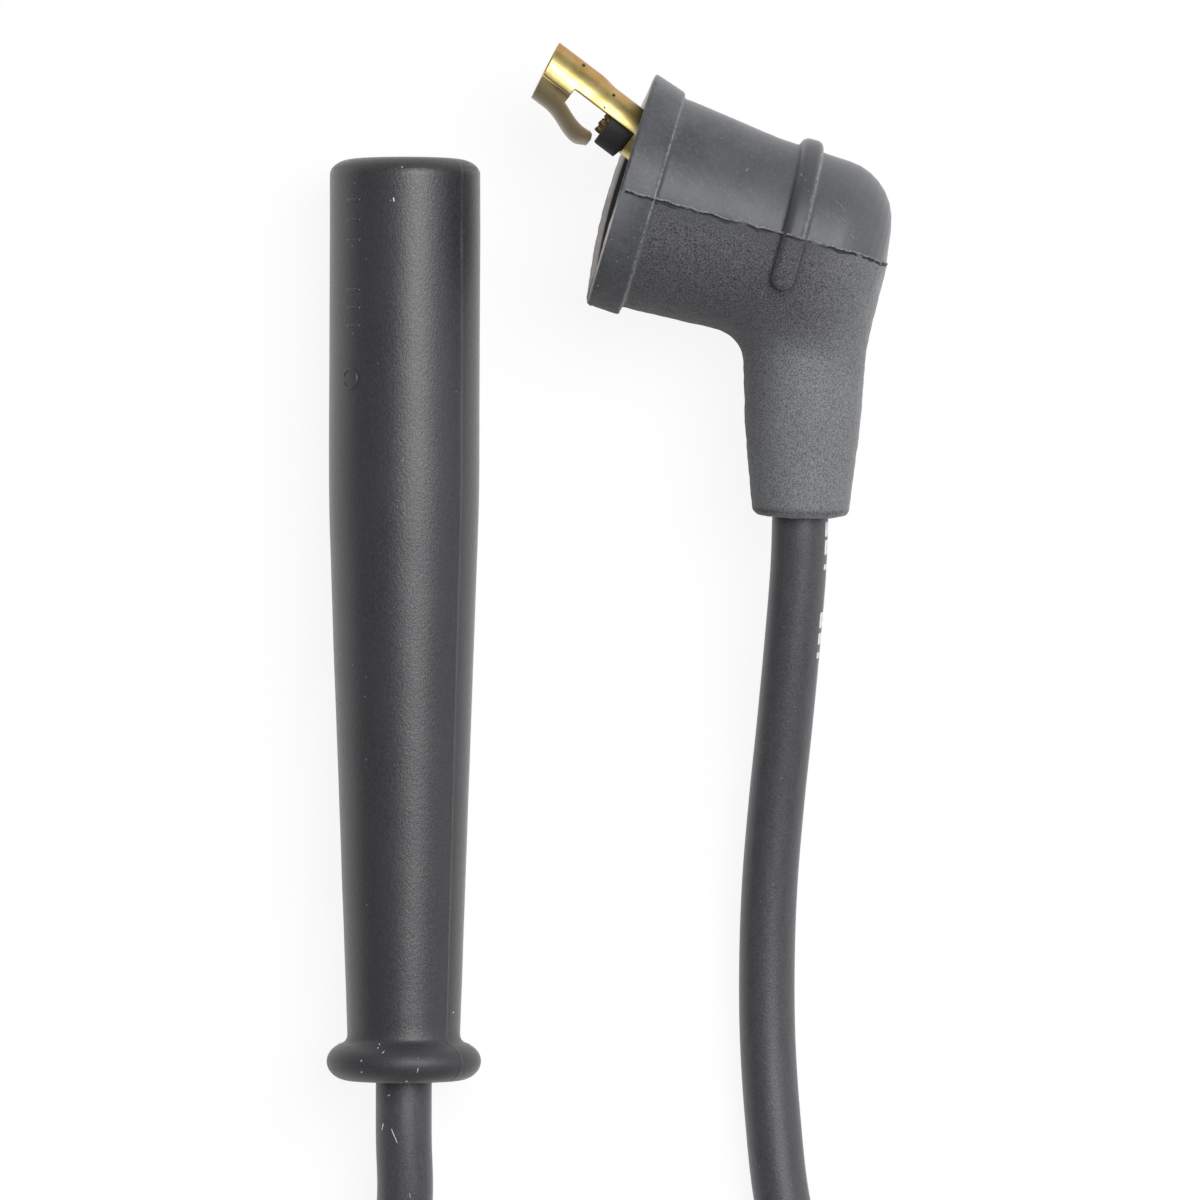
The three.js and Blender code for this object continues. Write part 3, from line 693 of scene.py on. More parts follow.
def boot_outline():
    outside = arc(6.4, 1.85, 2.95, 1.85, -90, -13, 12)
    outside += [(9.38, 1.6), *((sleeve_radius(d), d) for d in np.arange(2.4, SLEEVE_END, 1.2))]
    outside += [(7.04, 109.3), (7.1, 109.75), (7.28, 110.1), (7.65, 110.38), (8.15, 110.55)]
    outside += arc(6.7, 112.7, 2.95, 2.4, -48, 90, 20)
    inside = [(4.4, 115.1), (4.0, 114.9), (3.8, 114.5), (3.8, 79), (4.45, 78), (4.45, 48.2),
              (5.4, 47.4)]
    for depth in (11, 6):
        inside += [(5.4 - 0.4 * math.cos(a) ** 2, depth - 0.9 * math.sin(a))
                   for a in np.linspace(-math.pi / 2, math.pi / 2, 9)]
    inside += [(5.4, 1.6), (5.5, 1.0), (5.7, 0.5), (5.95, 0.16), (6.2, 0.0)]
    return outside + refined(inside, 3.0)


def round_boot(radius, angle, depth):
    """Points of the straight boot, the angle from its top to the right."""
    return joined(radius * np.sin(angle), depth, radius * np.cos(angle))


def in_boot(local):
    """From the straight boot's frame, across, depth and up. It bends a little near its mouth."""
    moved = local * (1, -1, 1) + BOOT_AT
    moved[..., 0] += BOOT_BOW * (1 - eased(local[..., 1], 0, 60))
    return moved


def make_plug_boot():
    outline = np.array(boot_outline())
    seam = np.array([-1, -0.55, -0.25, 0, 0.25, 0.55, 1]) * SEAM_WIDTH / 2 / BOOT_RADIUS
    angles = np.linspace(0, 2 * math.pi, BOOT_COLUMNS, endpoint=False)
    for middle in (SEAM_ANGLE, SEAM_ANGLE + math.pi):
        angles = angles[np.abs(angles - middle) > SEAM_WIDTH / BOOT_RADIUS]
        angles = np.concatenate([angles, middle + seam])
    radius, angle = np.meshgrid(outline[:, 0], np.sort(angles), indexing="ij")
    depth = outline[:, 1:2]
    off = np.minimum(np.abs(angle - SEAM_ANGLE), np.abs(angle - SEAM_ANGLE - math.pi))
    ridge = SEAM_HEIGHT * np.clip(1 - off * BOOT_RADIUS / (SEAM_WIDTH / 2), 0, 1)
    ridge = ridge * (0.75 + 0.35 * wobble(joined(0, depth, 0), 3.0, 5))
    uneven = 0.018 * wobble(round_boot(radius, angle, depth), 9.0, 3)
    outside = (radius > 6.8) & (depth > 0.3)
    local = round_boot(radius + outside * (ridge + uneven), angle, depth).reshape(-1, 3)
    made = piece("plug_boot_skin", in_boot(local), grid_faces(*radius.shape, close=True),
                 boot_rubber(), local)
    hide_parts("plug_boot")


make_plug_boot()


# Elbow boot, as the surface where a distance is zero


def smooth_min(a, b, blend):
    share = np.clip(0.5 + 0.5 * (b - a) / blend, 0, 1)
    return b + (a - b) * share - blend * share * (1 - share)


def smooth_max(a, b, blend):
    return -smooth_min(-a, -b, blend)


def gap_squared(x, y, a, b):
    """Squared distance in the plane from the segment between a and b."""
    ex, ey = b[0] - a[0], b[1] - a[1]
    t = np.clip(((x - a[0]) * ex + (y - a[1]) * ey) / (ex * ex + ey * ey), 0, 1)
    return (x - a[0] - ex * t) ** 2 + (y - a[1] - ey * t) ** 2


def outline_distance(r, y, outline, rounding=0.0):
    """Signed distance in (r, y) to a closed outline, negative inside, its corners rounded."""
    nearest = np.full(r.shape, np.inf)
    sign = np.ones(r.shape)
    for a, b in zip(outline, outline[-1:] + outline[:-1]):
        nearest = np.minimum(nearest, gap_squared(r, y, a, b))
        tests = (y >= a[1], y < b[1],
                 (b[0] - a[0]) * (y - a[1]) > (b[1] - a[1]) * (r - a[0]))
        together = (tests[0] & tests[1] & tests[2]) | ~(tests[0] | tests[1] | tests[2])
        sign = np.where(together, -sign, sign)
    return sign * np.sqrt(nearest) - rounding


LIP_OUTLINE = [(-5, 0.3), (14.55, 0.3), (14.1, 3.9), (13.0, 4.1), (-5, 4.1)]
CUP_OUTLINE = [(-5, 0.8), (13.5, 0.8), (13.5, 5), (12.5, 16.75), *arc(5, 26, 7.5, 7.5, 0, 90, 8),
               (-5, 33.5)]
NECK_OUTLINE = [(-5, -9.3), *arc(0, 0, 9.3, 9.3, -90, 0, 8), (8.2, 6.0), (7.65, 10.5), (7.2, 19.5),
                (6.05, 29.8), (5.95, 30.3), (5.6, 30.65), (5.0, 30.8), (-5, 30.8)]
CAVITY_OUTLINE = [(-5, -3), (12.3, -3), (12.3, 0), (11.4, 1.2), *arc(7.4, 14, 4, 4, 0, 90, 6),
                  (-5, 18)]


def route_distance(x, y, z, points):
    nearest = np.full(x.shape, np.inf)
    for a, b in zip(points, points[1:]):
        nearest = np.minimum(nearest, gap_squared(x, y, a, b) + z ** 2)
    return np.sqrt(nearest)


CABLE_WAY = [*elbow_route(), elbow_route()[-1] + 4 * NECK_LINE]
LIP_SKEW = 0.15
LIP_LEAN = 0.02
MOUTH_SLUMP = 0.95
NECK_CUT = 0.08
RIB_LEAN = 3 * DEG
RIB_HALF_SPAN = 117 * DEG
RIB_HALF_WIDTH = 1.4
RIB_ROUNDING = 0.95
RIB_RADIUS, RIB_HALF_HEIGHT = 11.7, 2.0
CUP_RADIUS_AT_RIB = 12.5
WAY_RADIUS = 3.8


def rib_frame(x, y):
    """Coordinates across the cup in the rib's plane, and past that plane."""
    x, y = x - CUP_OFFSET, y - RIB_FROM_MOUTH
    return (x * math.cos(RIB_LEAN) + y * math.sin(RIB_LEAN),
            -x * math.sin(RIB_LEAN) + y * math.cos(RIB_LEAN))


def rib_distance(x, y, z):
    """A bar round the cup with steep flanks and rounded ends."""
    u, v = rib_frame(x, y)
    ring = np.hypot(u, z)
    turned = np.abs(np.arctan2(z, -u))
    reach = np.maximum(ring * (turned - RIB_HALF_SPAN) + RIB_HALF_WIDTH, 0)
    plan = np.hypot(v, reach) - RIB_HALF_WIDTH + RIB_ROUNDING
    out = np.abs(ring - RIB_RADIUS) - RIB_HALF_HEIGHT + RIB_ROUNDING
    edge = np.hypot(np.maximum(plan, 0), np.maximum(out, 0))
    return edge + np.minimum(np.maximum(plan, out), 0) - RIB_ROUNDING


def slumped(y, z):
    """The soft mouth stands upright above and hangs outwards below."""
    hang = MOUTH_SLUMP * np.clip(-z / LIP_RADIUS, 0, 1) ** 3
    return y + (hang - math.sin(ELBOW_TILT) * np.maximum(z, 0)) * (1 - eased(y, 0, 8))


def neck_frame(x, y, z):
    """Coordinates across and along the neck, whose end is cut aslant."""
    u, v = x - CORNER[0], y - CORNER[1]
    forward = u * NECK_LINE[0] + v * NECK_LINE[1]
    return u * NECK_LINE[1] - v * NECK_LINE[0], forward - NECK_CUT * z * eased(forward, 22, 30)


def elbow_distance(x, y, z):
    y = slumped(y, z)
    lip = outline_distance(np.hypot(x - LIP_SKEW * y, z), y - LIP_LEAN * x, LIP_OUTLINE, 0.3)
    cup = outline_distance(np.hypot(x - CUP_OFFSET, z), y, CUP_OUTLINE)
    beside_neck, along_neck = neck_frame(x, y, z)
    neck = outline_distance(np.hypot(beside_neck, z), along_neck, NECK_OUTLINE)
    body = smooth_min(smooth_min(lip, cup, 0.25), neck, 3.0)
    body = smooth_min(body, rib_distance(x, y, z), 0.2)
    cavity = outline_distance(np.hypot(x, z), y, CAVITY_OUTLINE)
    way = route_distance(x, y, z, CABLE_WAY) - WAY_RADIUS
    return smooth_max(smooth_max(body, -cavity, 0.3), -way, 0.3)


def surface_net(distance, low, high, step):
    """Points and quads of the surface where distance is zero."""
    axes = [np.arange(a, b, step) for a, b in zip(low, high)]
    field = distance(*np.meshgrid(*axes, indexing="ij"))
    sums = np.zeros([n - 1 for n in field.shape] + [3])
    counts = np.zeros(sums.shape[:3])
    rings = []
    for axis in range(3):
        first, second = (np.take(field, range(k, field.shape[axis] - 1 + k), axis) for k in (0, 1))
        cross = (first < 0) != (second < 0)
        index = np.argwhere(cross)
        place = index.astype(float)
        place[:, axis] += first[cross] / (first[cross] - second[cross])
        back, beside = np.delete(np.eye(3, dtype=int), axis, 0)
        cells = [index - a * back - b * beside for a, b in ((0, 0), (1, 0), (1, 1), (0, 1))]
        for cell in cells:
            np.add.at(sums, tuple(cell.T), place)
            np.add.at(counts, tuple(cell.T), 1)
        rings.append((cells, (first[cross] < 0) != (axis == 1)))
    used = counts > 0
    number = np.cumsum(used).reshape(used.shape) - 1
    points = sums[used] / counts[used][:, None] * step + low
    quads = []
    for cells, outwards in rings:
        quad = np.stack([number[tuple(cell.T)] for cell in cells], -1)
        quads.append(np.where(outwards[:, None], quad, quad[:, ::-1]))
    return points, np.vstack(quads)


def slope(distance, points, reach=0.02):
    """Value, unit outward direction and steepness of a distance at points."""
    grad = np.stack([distance(*(points + step).T) - distance(*(points - step).T)
                     for step in np.eye(3) * reach], -1) / (2 * reach)
    size = np.linalg.norm(grad, axis=1)
    return distance(*points.T), grad / np.maximum(size, 1e-9)[:, None], size


def settled(distance, points, times=3):
    """Points moved onto the surface where distance is zero."""
    for _ in range(times):
        value, normal, size = slope(distance, points)
        points = points - normal * np.clip(value / np.maximum(size, 0.3), -0.3, 0.3)[:, None]
    return points


ELBOW_BOX = (-16.1, -2.4, -15.9), (34, 42, 15.9)
ELBOW_STEP = 0.36
PARTING_LEAN = 0.055


def parting_x(y):
    return 0.85 - PARTING_LEAN * y


def make_elbow():
    """The elbow's skin, with the values on its points that its material reads."""
    points, quads = surface_net(elbow_distance, *ELBOW_BOX, ELBOW_STEP)
    points = settled(elbow_distance, points)
    _, normal, _ = slope(elbow_distance, points)
    x, y, z = points.T
    across = x - parting_x(y)
    cavity = outline_distance(np.hypot(x, z), slumped(y, z), CAVITY_OUTLINE)
    height = np.where((across > 0) & (cavity > 0.2),
                      0.03 * wobble(points, 1.6, 11) + 0.03 * wobble(points, 4.5, 12),
                      0.02 * wobble(points, 7.0, 13))
    local = points + normal * height[:, None]
    depth = slumped(*local.T[1:])
    depth -= LIP_LEAN * local[:, 0] * (1 - eased(depth, 4.6, 6.5))
    made = piece("elbow_boot_skin", from_elbow(local), quads, elbow_rubber(),
                 joined(across, depth, local[:, 2]))
    off_cup = np.hypot(x - CUP_OFFSET, z) - CUP_RADIUS_AT_RIB
    off_rib = rib_distance(x, y, z)
    _, past_rib = rib_frame(x, y)
    # Painted shade: darkening along the rib's foot, where it meets the cup
    foot = np.exp(-(off_rib / 0.34) ** 2 - (off_cup / 0.5) ** 2)
    foot *= 1 - 0.8 * eased(past_rib, 0.6, 1.1) * (across < 0)
    on_rib = eased(-off_rib, -0.25, 0.05) * eased(off_cup, 0.1, 0.5)
    # Painted highlight: a pale line along the rib's far edge
    far_edge_highlight = np.exp(-((past_rib - 1.15) / 0.24) ** 2) * on_rib * (across < 0.3)
    _, along_neck = neck_frame(x, y, z)
    groove = 0.8 * np.exp(-((along_neck - NECK_LENGTH + 0.75) / 0.3) ** 2)
    for name, values in (("inside", 1 - eased(cavity, 0.0, 0.45)),
                         ("dark", np.maximum(foot, groove)), ("rib", on_rib), ("pale", far_edge_highlight)):
        attribute = made.data.attributes.new(name, "FLOAT", "POINT")
        attribute.data.foreach_set("value", values.astype(np.float32))
    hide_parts("elbow_boot")


make_elbow()


# The parting line of the elbow: a ragged double ridge with a crack in it, its shade painted dark


def parting_line():
    """Points of the parting line, found from its middle outwards."""
    middle, reach = 14.0, 30.0
    angles = np.radians(np.linspace(-133.6, 133.6, 900))
    lines = joined(-PARTING_LEAN * np.cos(angles), np.cos(angles), np.sin(angles))
    far = np.full(len(angles), reach)
    start = (parting_x(middle), middle, 0)
    for _ in range(60):
        spot = lines * far[:, None] + start
        far = far - np.clip(elbow_distance(*spot.T), -1, 4) * 0.8
    return lines * far[:, None] + start


def make_parting_line():
    line = parting_line()
    drift = 0.1 * wobble(line, 3.0, 21) + 0.05 * wobble(line, 0.9, 22)
    ragged = np.clip(0.35 + 0.7 * wobble(line, 1.3, 23) + 0.6 * wobble(line, 0.5, 24), 0.02, 1.4)
    lesser = np.clip(0.2 + 0.6 * wobble(line, 0.9, 25), 0.0, 1.0)
    even = np.ones(len(line))
    section = ((-0.44, -0.05, even), (-0.28, 0.02, even), (-0.18, 0.17, ragged),
               (-0.07, 0.02, even), (0.0, 0.005, even), (0.07, 0.02, even), (0.16, 0.14, lesser),
               (0.27, 0.01, even), (0.4, -0.05, even), (0.0, -0.14, even))
    columns, flows = [], []
    for across, height, share in section:
        spot = settled(elbow_distance, line + joined(drift + across, 0, 0))
        _, normal, _ = slope(elbow_distance, spot)
        columns.append(spot + normal * (height * share)[:, None])
        flows.append(joined(across, along(line), 0))
    points, flow = (np.stack(rows, 1).reshape(-1, 3) for rows in (columns, flows))
    piece("elbow_parting_line", from_elbow(points), tube_faces(len(line), len(section)),
          parting_rubber(), flow)


make_parting_line()


# Terminal rolled from brass sheet, in its own axes

SHEET = 0.36
RING_RADIUS = 3.8
CRIMPED_RADIUS = 3.5
RING_LENGTH = 5.0
NARROWING = (6.8, 9.2)  # depths
FLATTENING = (13.6, 14.1)
WINDOW_END = 14.2
CRIMP_END = 25.6
WINDOW_EDGES = (92, 262.5)  # degrees, between which the half tube lies
RING_SEAM = 77  # degrees
FINGER_HALF = 62 * DEG
FINGER_REACH = 5.35
FINGER_SPRING = 1.32
SPRING_START = 3.4
SPRING_CURL = 118 * DEG  # at 90 the strip's tip would stay out
TIP_FLATNESS = 0.38
TIP_START, TIP_WIDTH = 0.86, 0.58  # shares of the strip's length and width
FINGER_ROOT = 0.6  # its length inside the ring
CRIMP_GAP = 5.5  # degrees to each side of the crimp's open side
MOUTH_SLANT = 10 * DEG
SLANT_DEPTH = 3
EDGE = 0.07  # bevel of the sheet


def spring(depth):
    """How far the spring strip stands out, curling back at its tip."""
    past = np.clip((depth - SPRING_START) / (RING_LENGTH + FINGER_REACH - SPRING_START), 0, 1)
    return FINGER_SPRING * np.sin(past * SPRING_CURL) ** 2


def rolled(angle, depth):
    """Middle of the sheet and its outward direction, the angle from the open side over the top."""
    radius = RING_RADIUS - SHEET / 2 - (RING_RADIUS - CRIMPED_RADIUS) * eased(depth, *NARROWING)
    radius = radius * (1 - CRIMP_FLAT * eased(depth, *FLATTENING) * np.maximum(np.cos(angle), 0))
    outwards = joined(np.cos(angle), 0, np.sin(angle))
    start = (radius * np.cos(angle) + RING_RADIUS) * math.tan(MOUTH_SLANT)
    depth = np.where(depth < SLANT_DEPTH, start + depth * (SLANT_DEPTH - start) / SLANT_DEPTH,
                     depth)
    lift = spring(depth) * eased(np.cos(angle), 0.15, 0.6) * (depth < RING_LENGTH + 0.1)
    return outwards * radius[..., None] + joined(lift, depth, 0), outwards


def sheet(place, columns, rows, kept=lambda u, v: True):
    """A closed sheet over the kept cells of a grid of columns and rows."""
    middle, outwards = place(*np.meshgrid(columns, rows))
    points = np.concatenate([(middle + outwards * side * SHEET / 2).reshape(-1, 3)
                             for side in (1, -1)])
    size = len(columns) * len(rows)
    quads = grid_faces(len(rows), len(columns), wrap=False).tolist()
    middles = [((u0 + u1) / 2, (v0 + v1) / 2) for v0, v1 in zip(rows, rows[1:])
               for u0, u1 in zip(columns, columns[1:])]
    faces, walls = [], {}
    for corners in (quad for quad, spot in zip(quads, middles) if kept(*spot)):
        faces += [corners, [c + size for c in corners[::-1]]]
        for a, b in zip(corners, corners[1:] + corners[:1]):
            if (b, a) in walls:
                del walls[b, a]
            else:
                walls[a, b] = [b, a, a + size, b + size]
    faces += walls.values()
    used = sorted({corner for face in faces for corner in face})
    renumber = {old: new for new, old in enumerate(used)}
    return points[used], [[renumber[c] for c in face] for face in faces]


def shell_kept(angle, depth):
    """Whether the sheet is there: past the ring it is a half tube, and then the crimp."""
    turned = math.degrees(angle) % 360
    if depth > WINDOW_END:
        return CRIMP_GAP < turned < 360 - CRIMP_GAP
    return depth < RING_LENGTH or WINDOW_EDGES[0] < turned < WINDOW_EDGES[1]


def finger(share_across, share_along):
    """The spring strip beside the window, blunt and flattened at its tip."""
    tip = np.clip((share_along - TIP_START) / (1 - TIP_START), 0, 1)
    angle = share_across * FINGER_HALF * (TIP_WIDTH + (1 - TIP_WIDTH) * np.sqrt(1 - tip ** 2))
    depth = RING_LENGTH - FINGER_ROOT + share_along * (FINGER_REACH + FINGER_ROOT)
    outwards = joined(np.cos(angle), 0, np.sin(angle))
    crown = np.maximum(np.cos(angle) - math.cos(FINGER_HALF), 0) / (1 - math.cos(FINGER_HALF))
    out = spring(depth) - TIP_FLATNESS * eased(share_along, 0.74, 1) * crown
    return outwards * (RING_RADIUS - SHEET / 2) + joined(out, depth, 0), outwards


def brass_piece(name, points, faces, metal):
    """A piece of the rolled terminal, its edges bevelled."""
    made = piece(name, from_roll(points), faces, metal, points)
    modifier = made.modifiers.new("edge", "BEVEL")
    modifier.width = EDGE * MM
    modifier.segments = 2
    modifier.limit_method = "ANGLE"
    modifier.angle_limit = 35 * DEG
    return made


def make_tower_terminal():
    marks = sorted({0, CRIMP_GAP, RING_SEAM, *WINDOW_EDGES, 360 - CRIMP_GAP, 360,
                    *range(9, 352, 4)})
    turned = [a - 360 for a in marks if a >= RING_SEAM] + [a for a in marks if a <= RING_SEAM]
    columns = np.array([a for i, a in enumerate(turned) if i == 0 or a - turned[i - 1] > 1]) * DEG
    columns[0] += 0.012  # leaves the ring's seam open by a hair
    rows = [0, 0.12, 0.6, 1.4, 2.2, 3, 3.8, 4.5, RING_LENGTH, *np.arange(5.6, 13.8, 0.5),
            WINDOW_END, 14.8, 16, 18, 21, 24, CRIMP_END]
    metal = brass()
    shell = brass_piece("tower_terminal_shell", *sheet(rolled, columns, rows, shell_kept), metal)
    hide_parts("tower_terminal")
    strip = sheet(finger, np.linspace(-1, 1, 13), np.linspace(0, 1, 25))
    brass_piece("tower_terminal_finger", *strip, metal)


make_tower_terminal()


def tubes(paths, radii, sides):
    """Closed round rods along short paths, as one set of points and faces."""
    angles = np.linspace(0, 2 * math.pi, sides, endpoint=False)[:, None]
    parts = []
    for path, radius in zip(paths, radii):
        forward = unit(np.gradient(path, axis=0))
        side = unit(np.cross(forward, (0.31, 0.23, 0.92)))
        up = np.cross(side, forward)
        sizes = np.full(len(path), radius)
        sizes[[0, -1]] *= 0.55
        rows = [spot + size * (np.cos(angles) * across + np.sin(angles) * over)
                for spot, size, across, over in zip(path, sizes, side, up)]
        parts.append((np.vstack(rows), tube_faces(len(path), sides)))
    return gathered(parts)


STRAND_PITCH, STRAND_ROW = 0.42, 0.364
STRAND_ROOT = 0.45


def make_core_strands():
    """The frayed core at the cut end, its strands cut at uneven lengths."""
    rng = np.random.default_rng(31)
    steps = np.linspace(0, 1, 4)
    paths, radii = [], []
    for i in range(-7, 8):
        for j in range(-8, 9):
            x, z = STRAND_PITCH * (i + 0.5 * (j % 2)), STRAND_ROW * j
            if math.hypot(x, z) > CORE_RADIUS - 0.25:
                continue
            x, z = x + rng.uniform(-0.07, 0.07), z + rng.uniform(-0.07, 0.07)
            out = rng.uniform(0.25, 0.95)
            lean_x, lean_z = rng.uniform(-0.16, 0.16, 2)
            paths.append(joined(x + lean_x * steps ** 2,
                                ROLL_CABLE_END + STRAND_ROOT - steps * (STRAND_ROOT + out),
                                z + lean_z * steps ** 2))
            radii.append(rng.uniform(0.17, 0.25))
    points, faces = tubes(paths, radii, 6)
    made = piece("core_strands", from_roll(points), faces, strand_fibre(), points)
    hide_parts("tower_end_core")


make_core_strands()


# Small marks, print and dust


def pillow(place, columns, rows, height):
    """A soft raised patch over a grid of shares from -1 to 1, closed under the surface."""
    u, v = np.meshgrid(np.linspace(-1, 1, columns), np.linspace(-1, 1, rows))
    rise = height * (1 - np.abs(u) ** 6) * (1 - np.abs(v) ** 6)
    top, outwards = place(u, v)
    layers = [top + outwards * (rise - 0.02)[..., None], top - outwards * 0.08]
    size = columns * rows
    index = np.arange(size).reshape(rows, columns)
    faces = grid_faces(rows, columns, wrap=False)
    rim = [*index[0], *index[1:, -1], *index[-1, -2::-1], *index[-2:0:-1, 0]]
    walls = [[a, b, b + size, a + size] for a, b in zip(rim[1:] + rim[:1], rim)]
    return np.concatenate(layers).reshape(-1, 3), [*faces, *(faces[:, ::-1] + size), *walls]


def boot_surface(angle, depth):
    """A point on the straight boot's outside in its own frame, and its outward direction."""
    return round_boot(sleeve_radius(depth), angle, depth), round_boot(1, angle, 0)


MARK_ANGLE = -42 * DEG
MARK_DEPTHS = (5.4, 7.9, 10.4, 16.6, 18.8, 21.0)
MARK_HALF_LENGTH, MARK_HALF_WIDTH, MARK_HEIGHT = 1.15, 0.2, 0.17
RING_MARK_ANGLE = -45 * DEG
RING_MARK_DEPTH = 27.6
RING_MARK_RADIUS, RING_MARK_HALF_WIDTH, RING_MARK_HEIGHT = 1.2, 0.17, 0.18


def make_boot_marks():
    """Plain raised bars and a plain raised ring, left by the mould."""
    def bar(u, v):
        return boot_surface(MARK_ANGLE + u * MARK_HALF_LENGTH / BOOT_RADIUS,
                            depth + v * MARK_HALF_WIDTH)

    def ring(u, v):
        turned = u * math.pi * 0.9995
        size = RING_MARK_RADIUS + v * RING_MARK_HALF_WIDTH
        return boot_surface(RING_MARK_ANGLE + size * np.cos(turned) / BOOT_RADIUS,
                            RING_MARK_DEPTH + size * np.sin(turned))

    parts = []
    for depth in MARK_DEPTHS:
        parts.append(pillow(bar, 15, 7, MARK_HEIGHT))
    points, faces = gathered([*parts, pillow(ring, 49, 7, RING_MARK_HEIGHT)])
    piece("boot_mould_marks", in_boot(points), faces, boot_rubber("mark_rubber"), points)


make_boot_marks()

# Ends of the dashes, as Y, and the angles of their middle and half width from the cable's top
PRINT_DASHES = ((3.3, 5.2), (1.1, 3.0), (-0.7, 0.0), (-7.9, -5.8), (-9.9, -8.4), (-11.6, -10.8))
PRINT_ANGLES = (75, 13)
PRINT_HEIGHT = 0.045
TO_NECK = 260  # points of the route, from the elbow back


def make_print():
    """Plain dashes of white ink along the cable, below the elbow."""
    def dash(u, v):
        where = ((start + end) / 2 + u * (end - start) / 2,
                 (PRINT_ANGLES[0] + PRINT_ANGLES[1] * v) * DEG)
        top, inner = (cable_point(*where, CABLE_RADIUS - deep)[0] for deep in (0, 1))
        return top, top - inner

    parts = []
    for ends in PRINT_DASHES:
        start, end = np.interp(ends, ROUTE[-TO_NECK:, 1], ROUTE_LENGTH[-TO_NECK:])
        parts.append(pillow(dash, 21, 7, PRINT_HEIGHT))
    points, faces = gathered(parts)
    piece("cable_print", points, faces, print_white(), points)


make_print()


def blobs(spots, sizes, seed):
    """Small uneven lumps."""
    rng = np.random.default_rng(seed)
    source = bmesh.new()
    bmesh.ops.create_icosphere(source, subdivisions=1, radius=1)
    ball = np.array([v.co for v in source.verts])
    sides = [[v.index for v in face.verts] for face in source.faces]
    source.free()
    parts = []
    for spot, size in zip(spots, sizes):
        stretch = rng.uniform(0.6, 1.3, 3)
        uneven = rng.uniform(0.75, 1.2, (len(ball), 1))
        parts.append((spot + ball * size * stretch * uneven, sides))
    return gathered(parts)


# Crumbs: depths from and to, greatest angle up from the lower side, and how many
CRUMBS = ((1.0, 6.5, 62, 16), (6.5, 30, 40, 22), (0.0, 1.0, 80, 10))
OUTSIDE_ELBOW = 16


def make_crumbs():
    """Crumbs of moulding flash that cling to the elbow's lip and its lower side."""
    rng = np.random.default_rng(41)
    spots, sizes = [], []
    for low, high, top, count in CRUMBS:
        for _ in range(count):
            lift = math.radians(rng.uniform(-20, top))
            spots.append((OUTSIDE_ELBOW * math.cos(lift), rng.uniform(low, high),
                          OUTSIDE_ELBOW * math.sin(lift)))
            sizes.append(rng.uniform(0.06, 0.15))
    spots = settled(elbow_distance, np.array(spots), 24)
    points, faces = blobs(spots, sizes, 42)
    piece("elbow_crumbs", from_elbow(points), faces, parting_rubber("crumb_rubber"), points,
          smooth=False)


make_crumbs()


def strokes(ends, steps, place, sides):
    """Thin rods along short lines: two numbers for the place of each end, then the radius."""
    paths = [place(np.linspace(a0, a1, steps), np.linspace(b0, b1, steps))
             for a0, b0, a1, b1, _ in ends]
    return tubes(paths, [radius for *_, radius in ends], sides)


# As the elbow's x and y
SCRATCHES = ((-7.85, 25.2, -6.6, 26.9, 0.085), (-5.75, 25.9, -2.8, 29.2, 0.085),
             (-10.2, 17.6, -9.6, 18.2, 0.085), (-8.6, 14.0, -7.6, 13.7, 0.085))
# As distance past the straight boot, and degrees from the cable's top
HAIRS = ((5.7, 25, 7.4, 12, 0.05), (5.2, 45, 6.1, 50, 0.05), (13.5, -10, 14.1, -12, 0.05),
         (1.6, 28, 1.8, 34, 0.05))
# As distance to the right and depth of the straight boot
LINT = ((-1.25, 5.2, -1.15, 5.75, 0.1), (-0.25, 1.42, -0.1, 1.45, 0.09),
        (2.0, 113.1, 1.85, 113.7, 0.06), (-2.9, 110.2, -2.85, 110.3, 0.09),
        (-3.05, 110.6, -3.0, 110.7, 0.08), (-2.5, 111.3, -2.2, 111.0, 0.05),
        (6.2, 106.4, 6.25, 106.5, 0.1), (0.4, 114.75, 0.65, 114.8, 0.06),
        (-5.2, 112.3, -5.0, 112.2, 0.07), (-5.1, 113.6, -5.0, 113.7, 0.07))


def make_scratches():
    """Pale hairline scratches on the elbow's smooth side."""
    points, faces = strokes(
        SCRATCHES, 12, lambda x, y: settled(elbow_distance, joined(x, y, 13), 24), 5)
    piece("elbow_scratches", from_elbow(points), faces, parting_rubber("scratch_rubber"),
          points + (1, 0, 0))


def make_hairs():
    """Pale hairs that cling to the cable."""
    points, faces = strokes(
        HAIRS, 8, lambda past, turned: cable_point(
            BOOT_END + past, turned * DEG, CABLE_RADIUS + 0.03)[0], 5)
    piece("cable_hairs", points, faces, print_white("pale_hair"), points)


def make_lint():
    """Lint on the straight boot."""
    radii, depths = np.array(boot_outline()).T
    outside = slice(int(np.argmax(depths)) + 1)

    def place(across, depth):
        radius = np.interp(depth, depths[outside], radii[outside])
        return in_boot(joined(across, depth, np.sqrt(radius ** 2 - across ** 2)))

    points, faces = strokes(LINT, 4, place, 6)
    piece("boot_lint", points, faces, print_white("pale_lint"), points)


make_scratches()
make_hairs()
make_lint()


# Tie of the coil, in its own axes: x along the radius, y up, z along the cable

TIE_WIDTH = 3.6
TIE_HEAD = (6.0, 2.2, 5.0)
TIE_TAIL = (2.6, 1.1, 3.1)
TIE_TOOTH = 0.1


def stadium(length, height, steps):
    """Points and outward directions round a loop with round ends."""
    r, straight = height / 2, (length - height) / 2
    angles = np.linspace(-90, 90, steps) * DEG
    half = [((straight + r * math.cos(a), r * math.sin(a)), (math.cos(a), math.sin(a)))
            for a in angles]
    half += [((x, r), (0, 1)) for x in np.linspace(straight, -straight, 12)[1:-1]]
    return half + [((-x, -y), (-n, -m)) for (x, y), (n, m) in half]


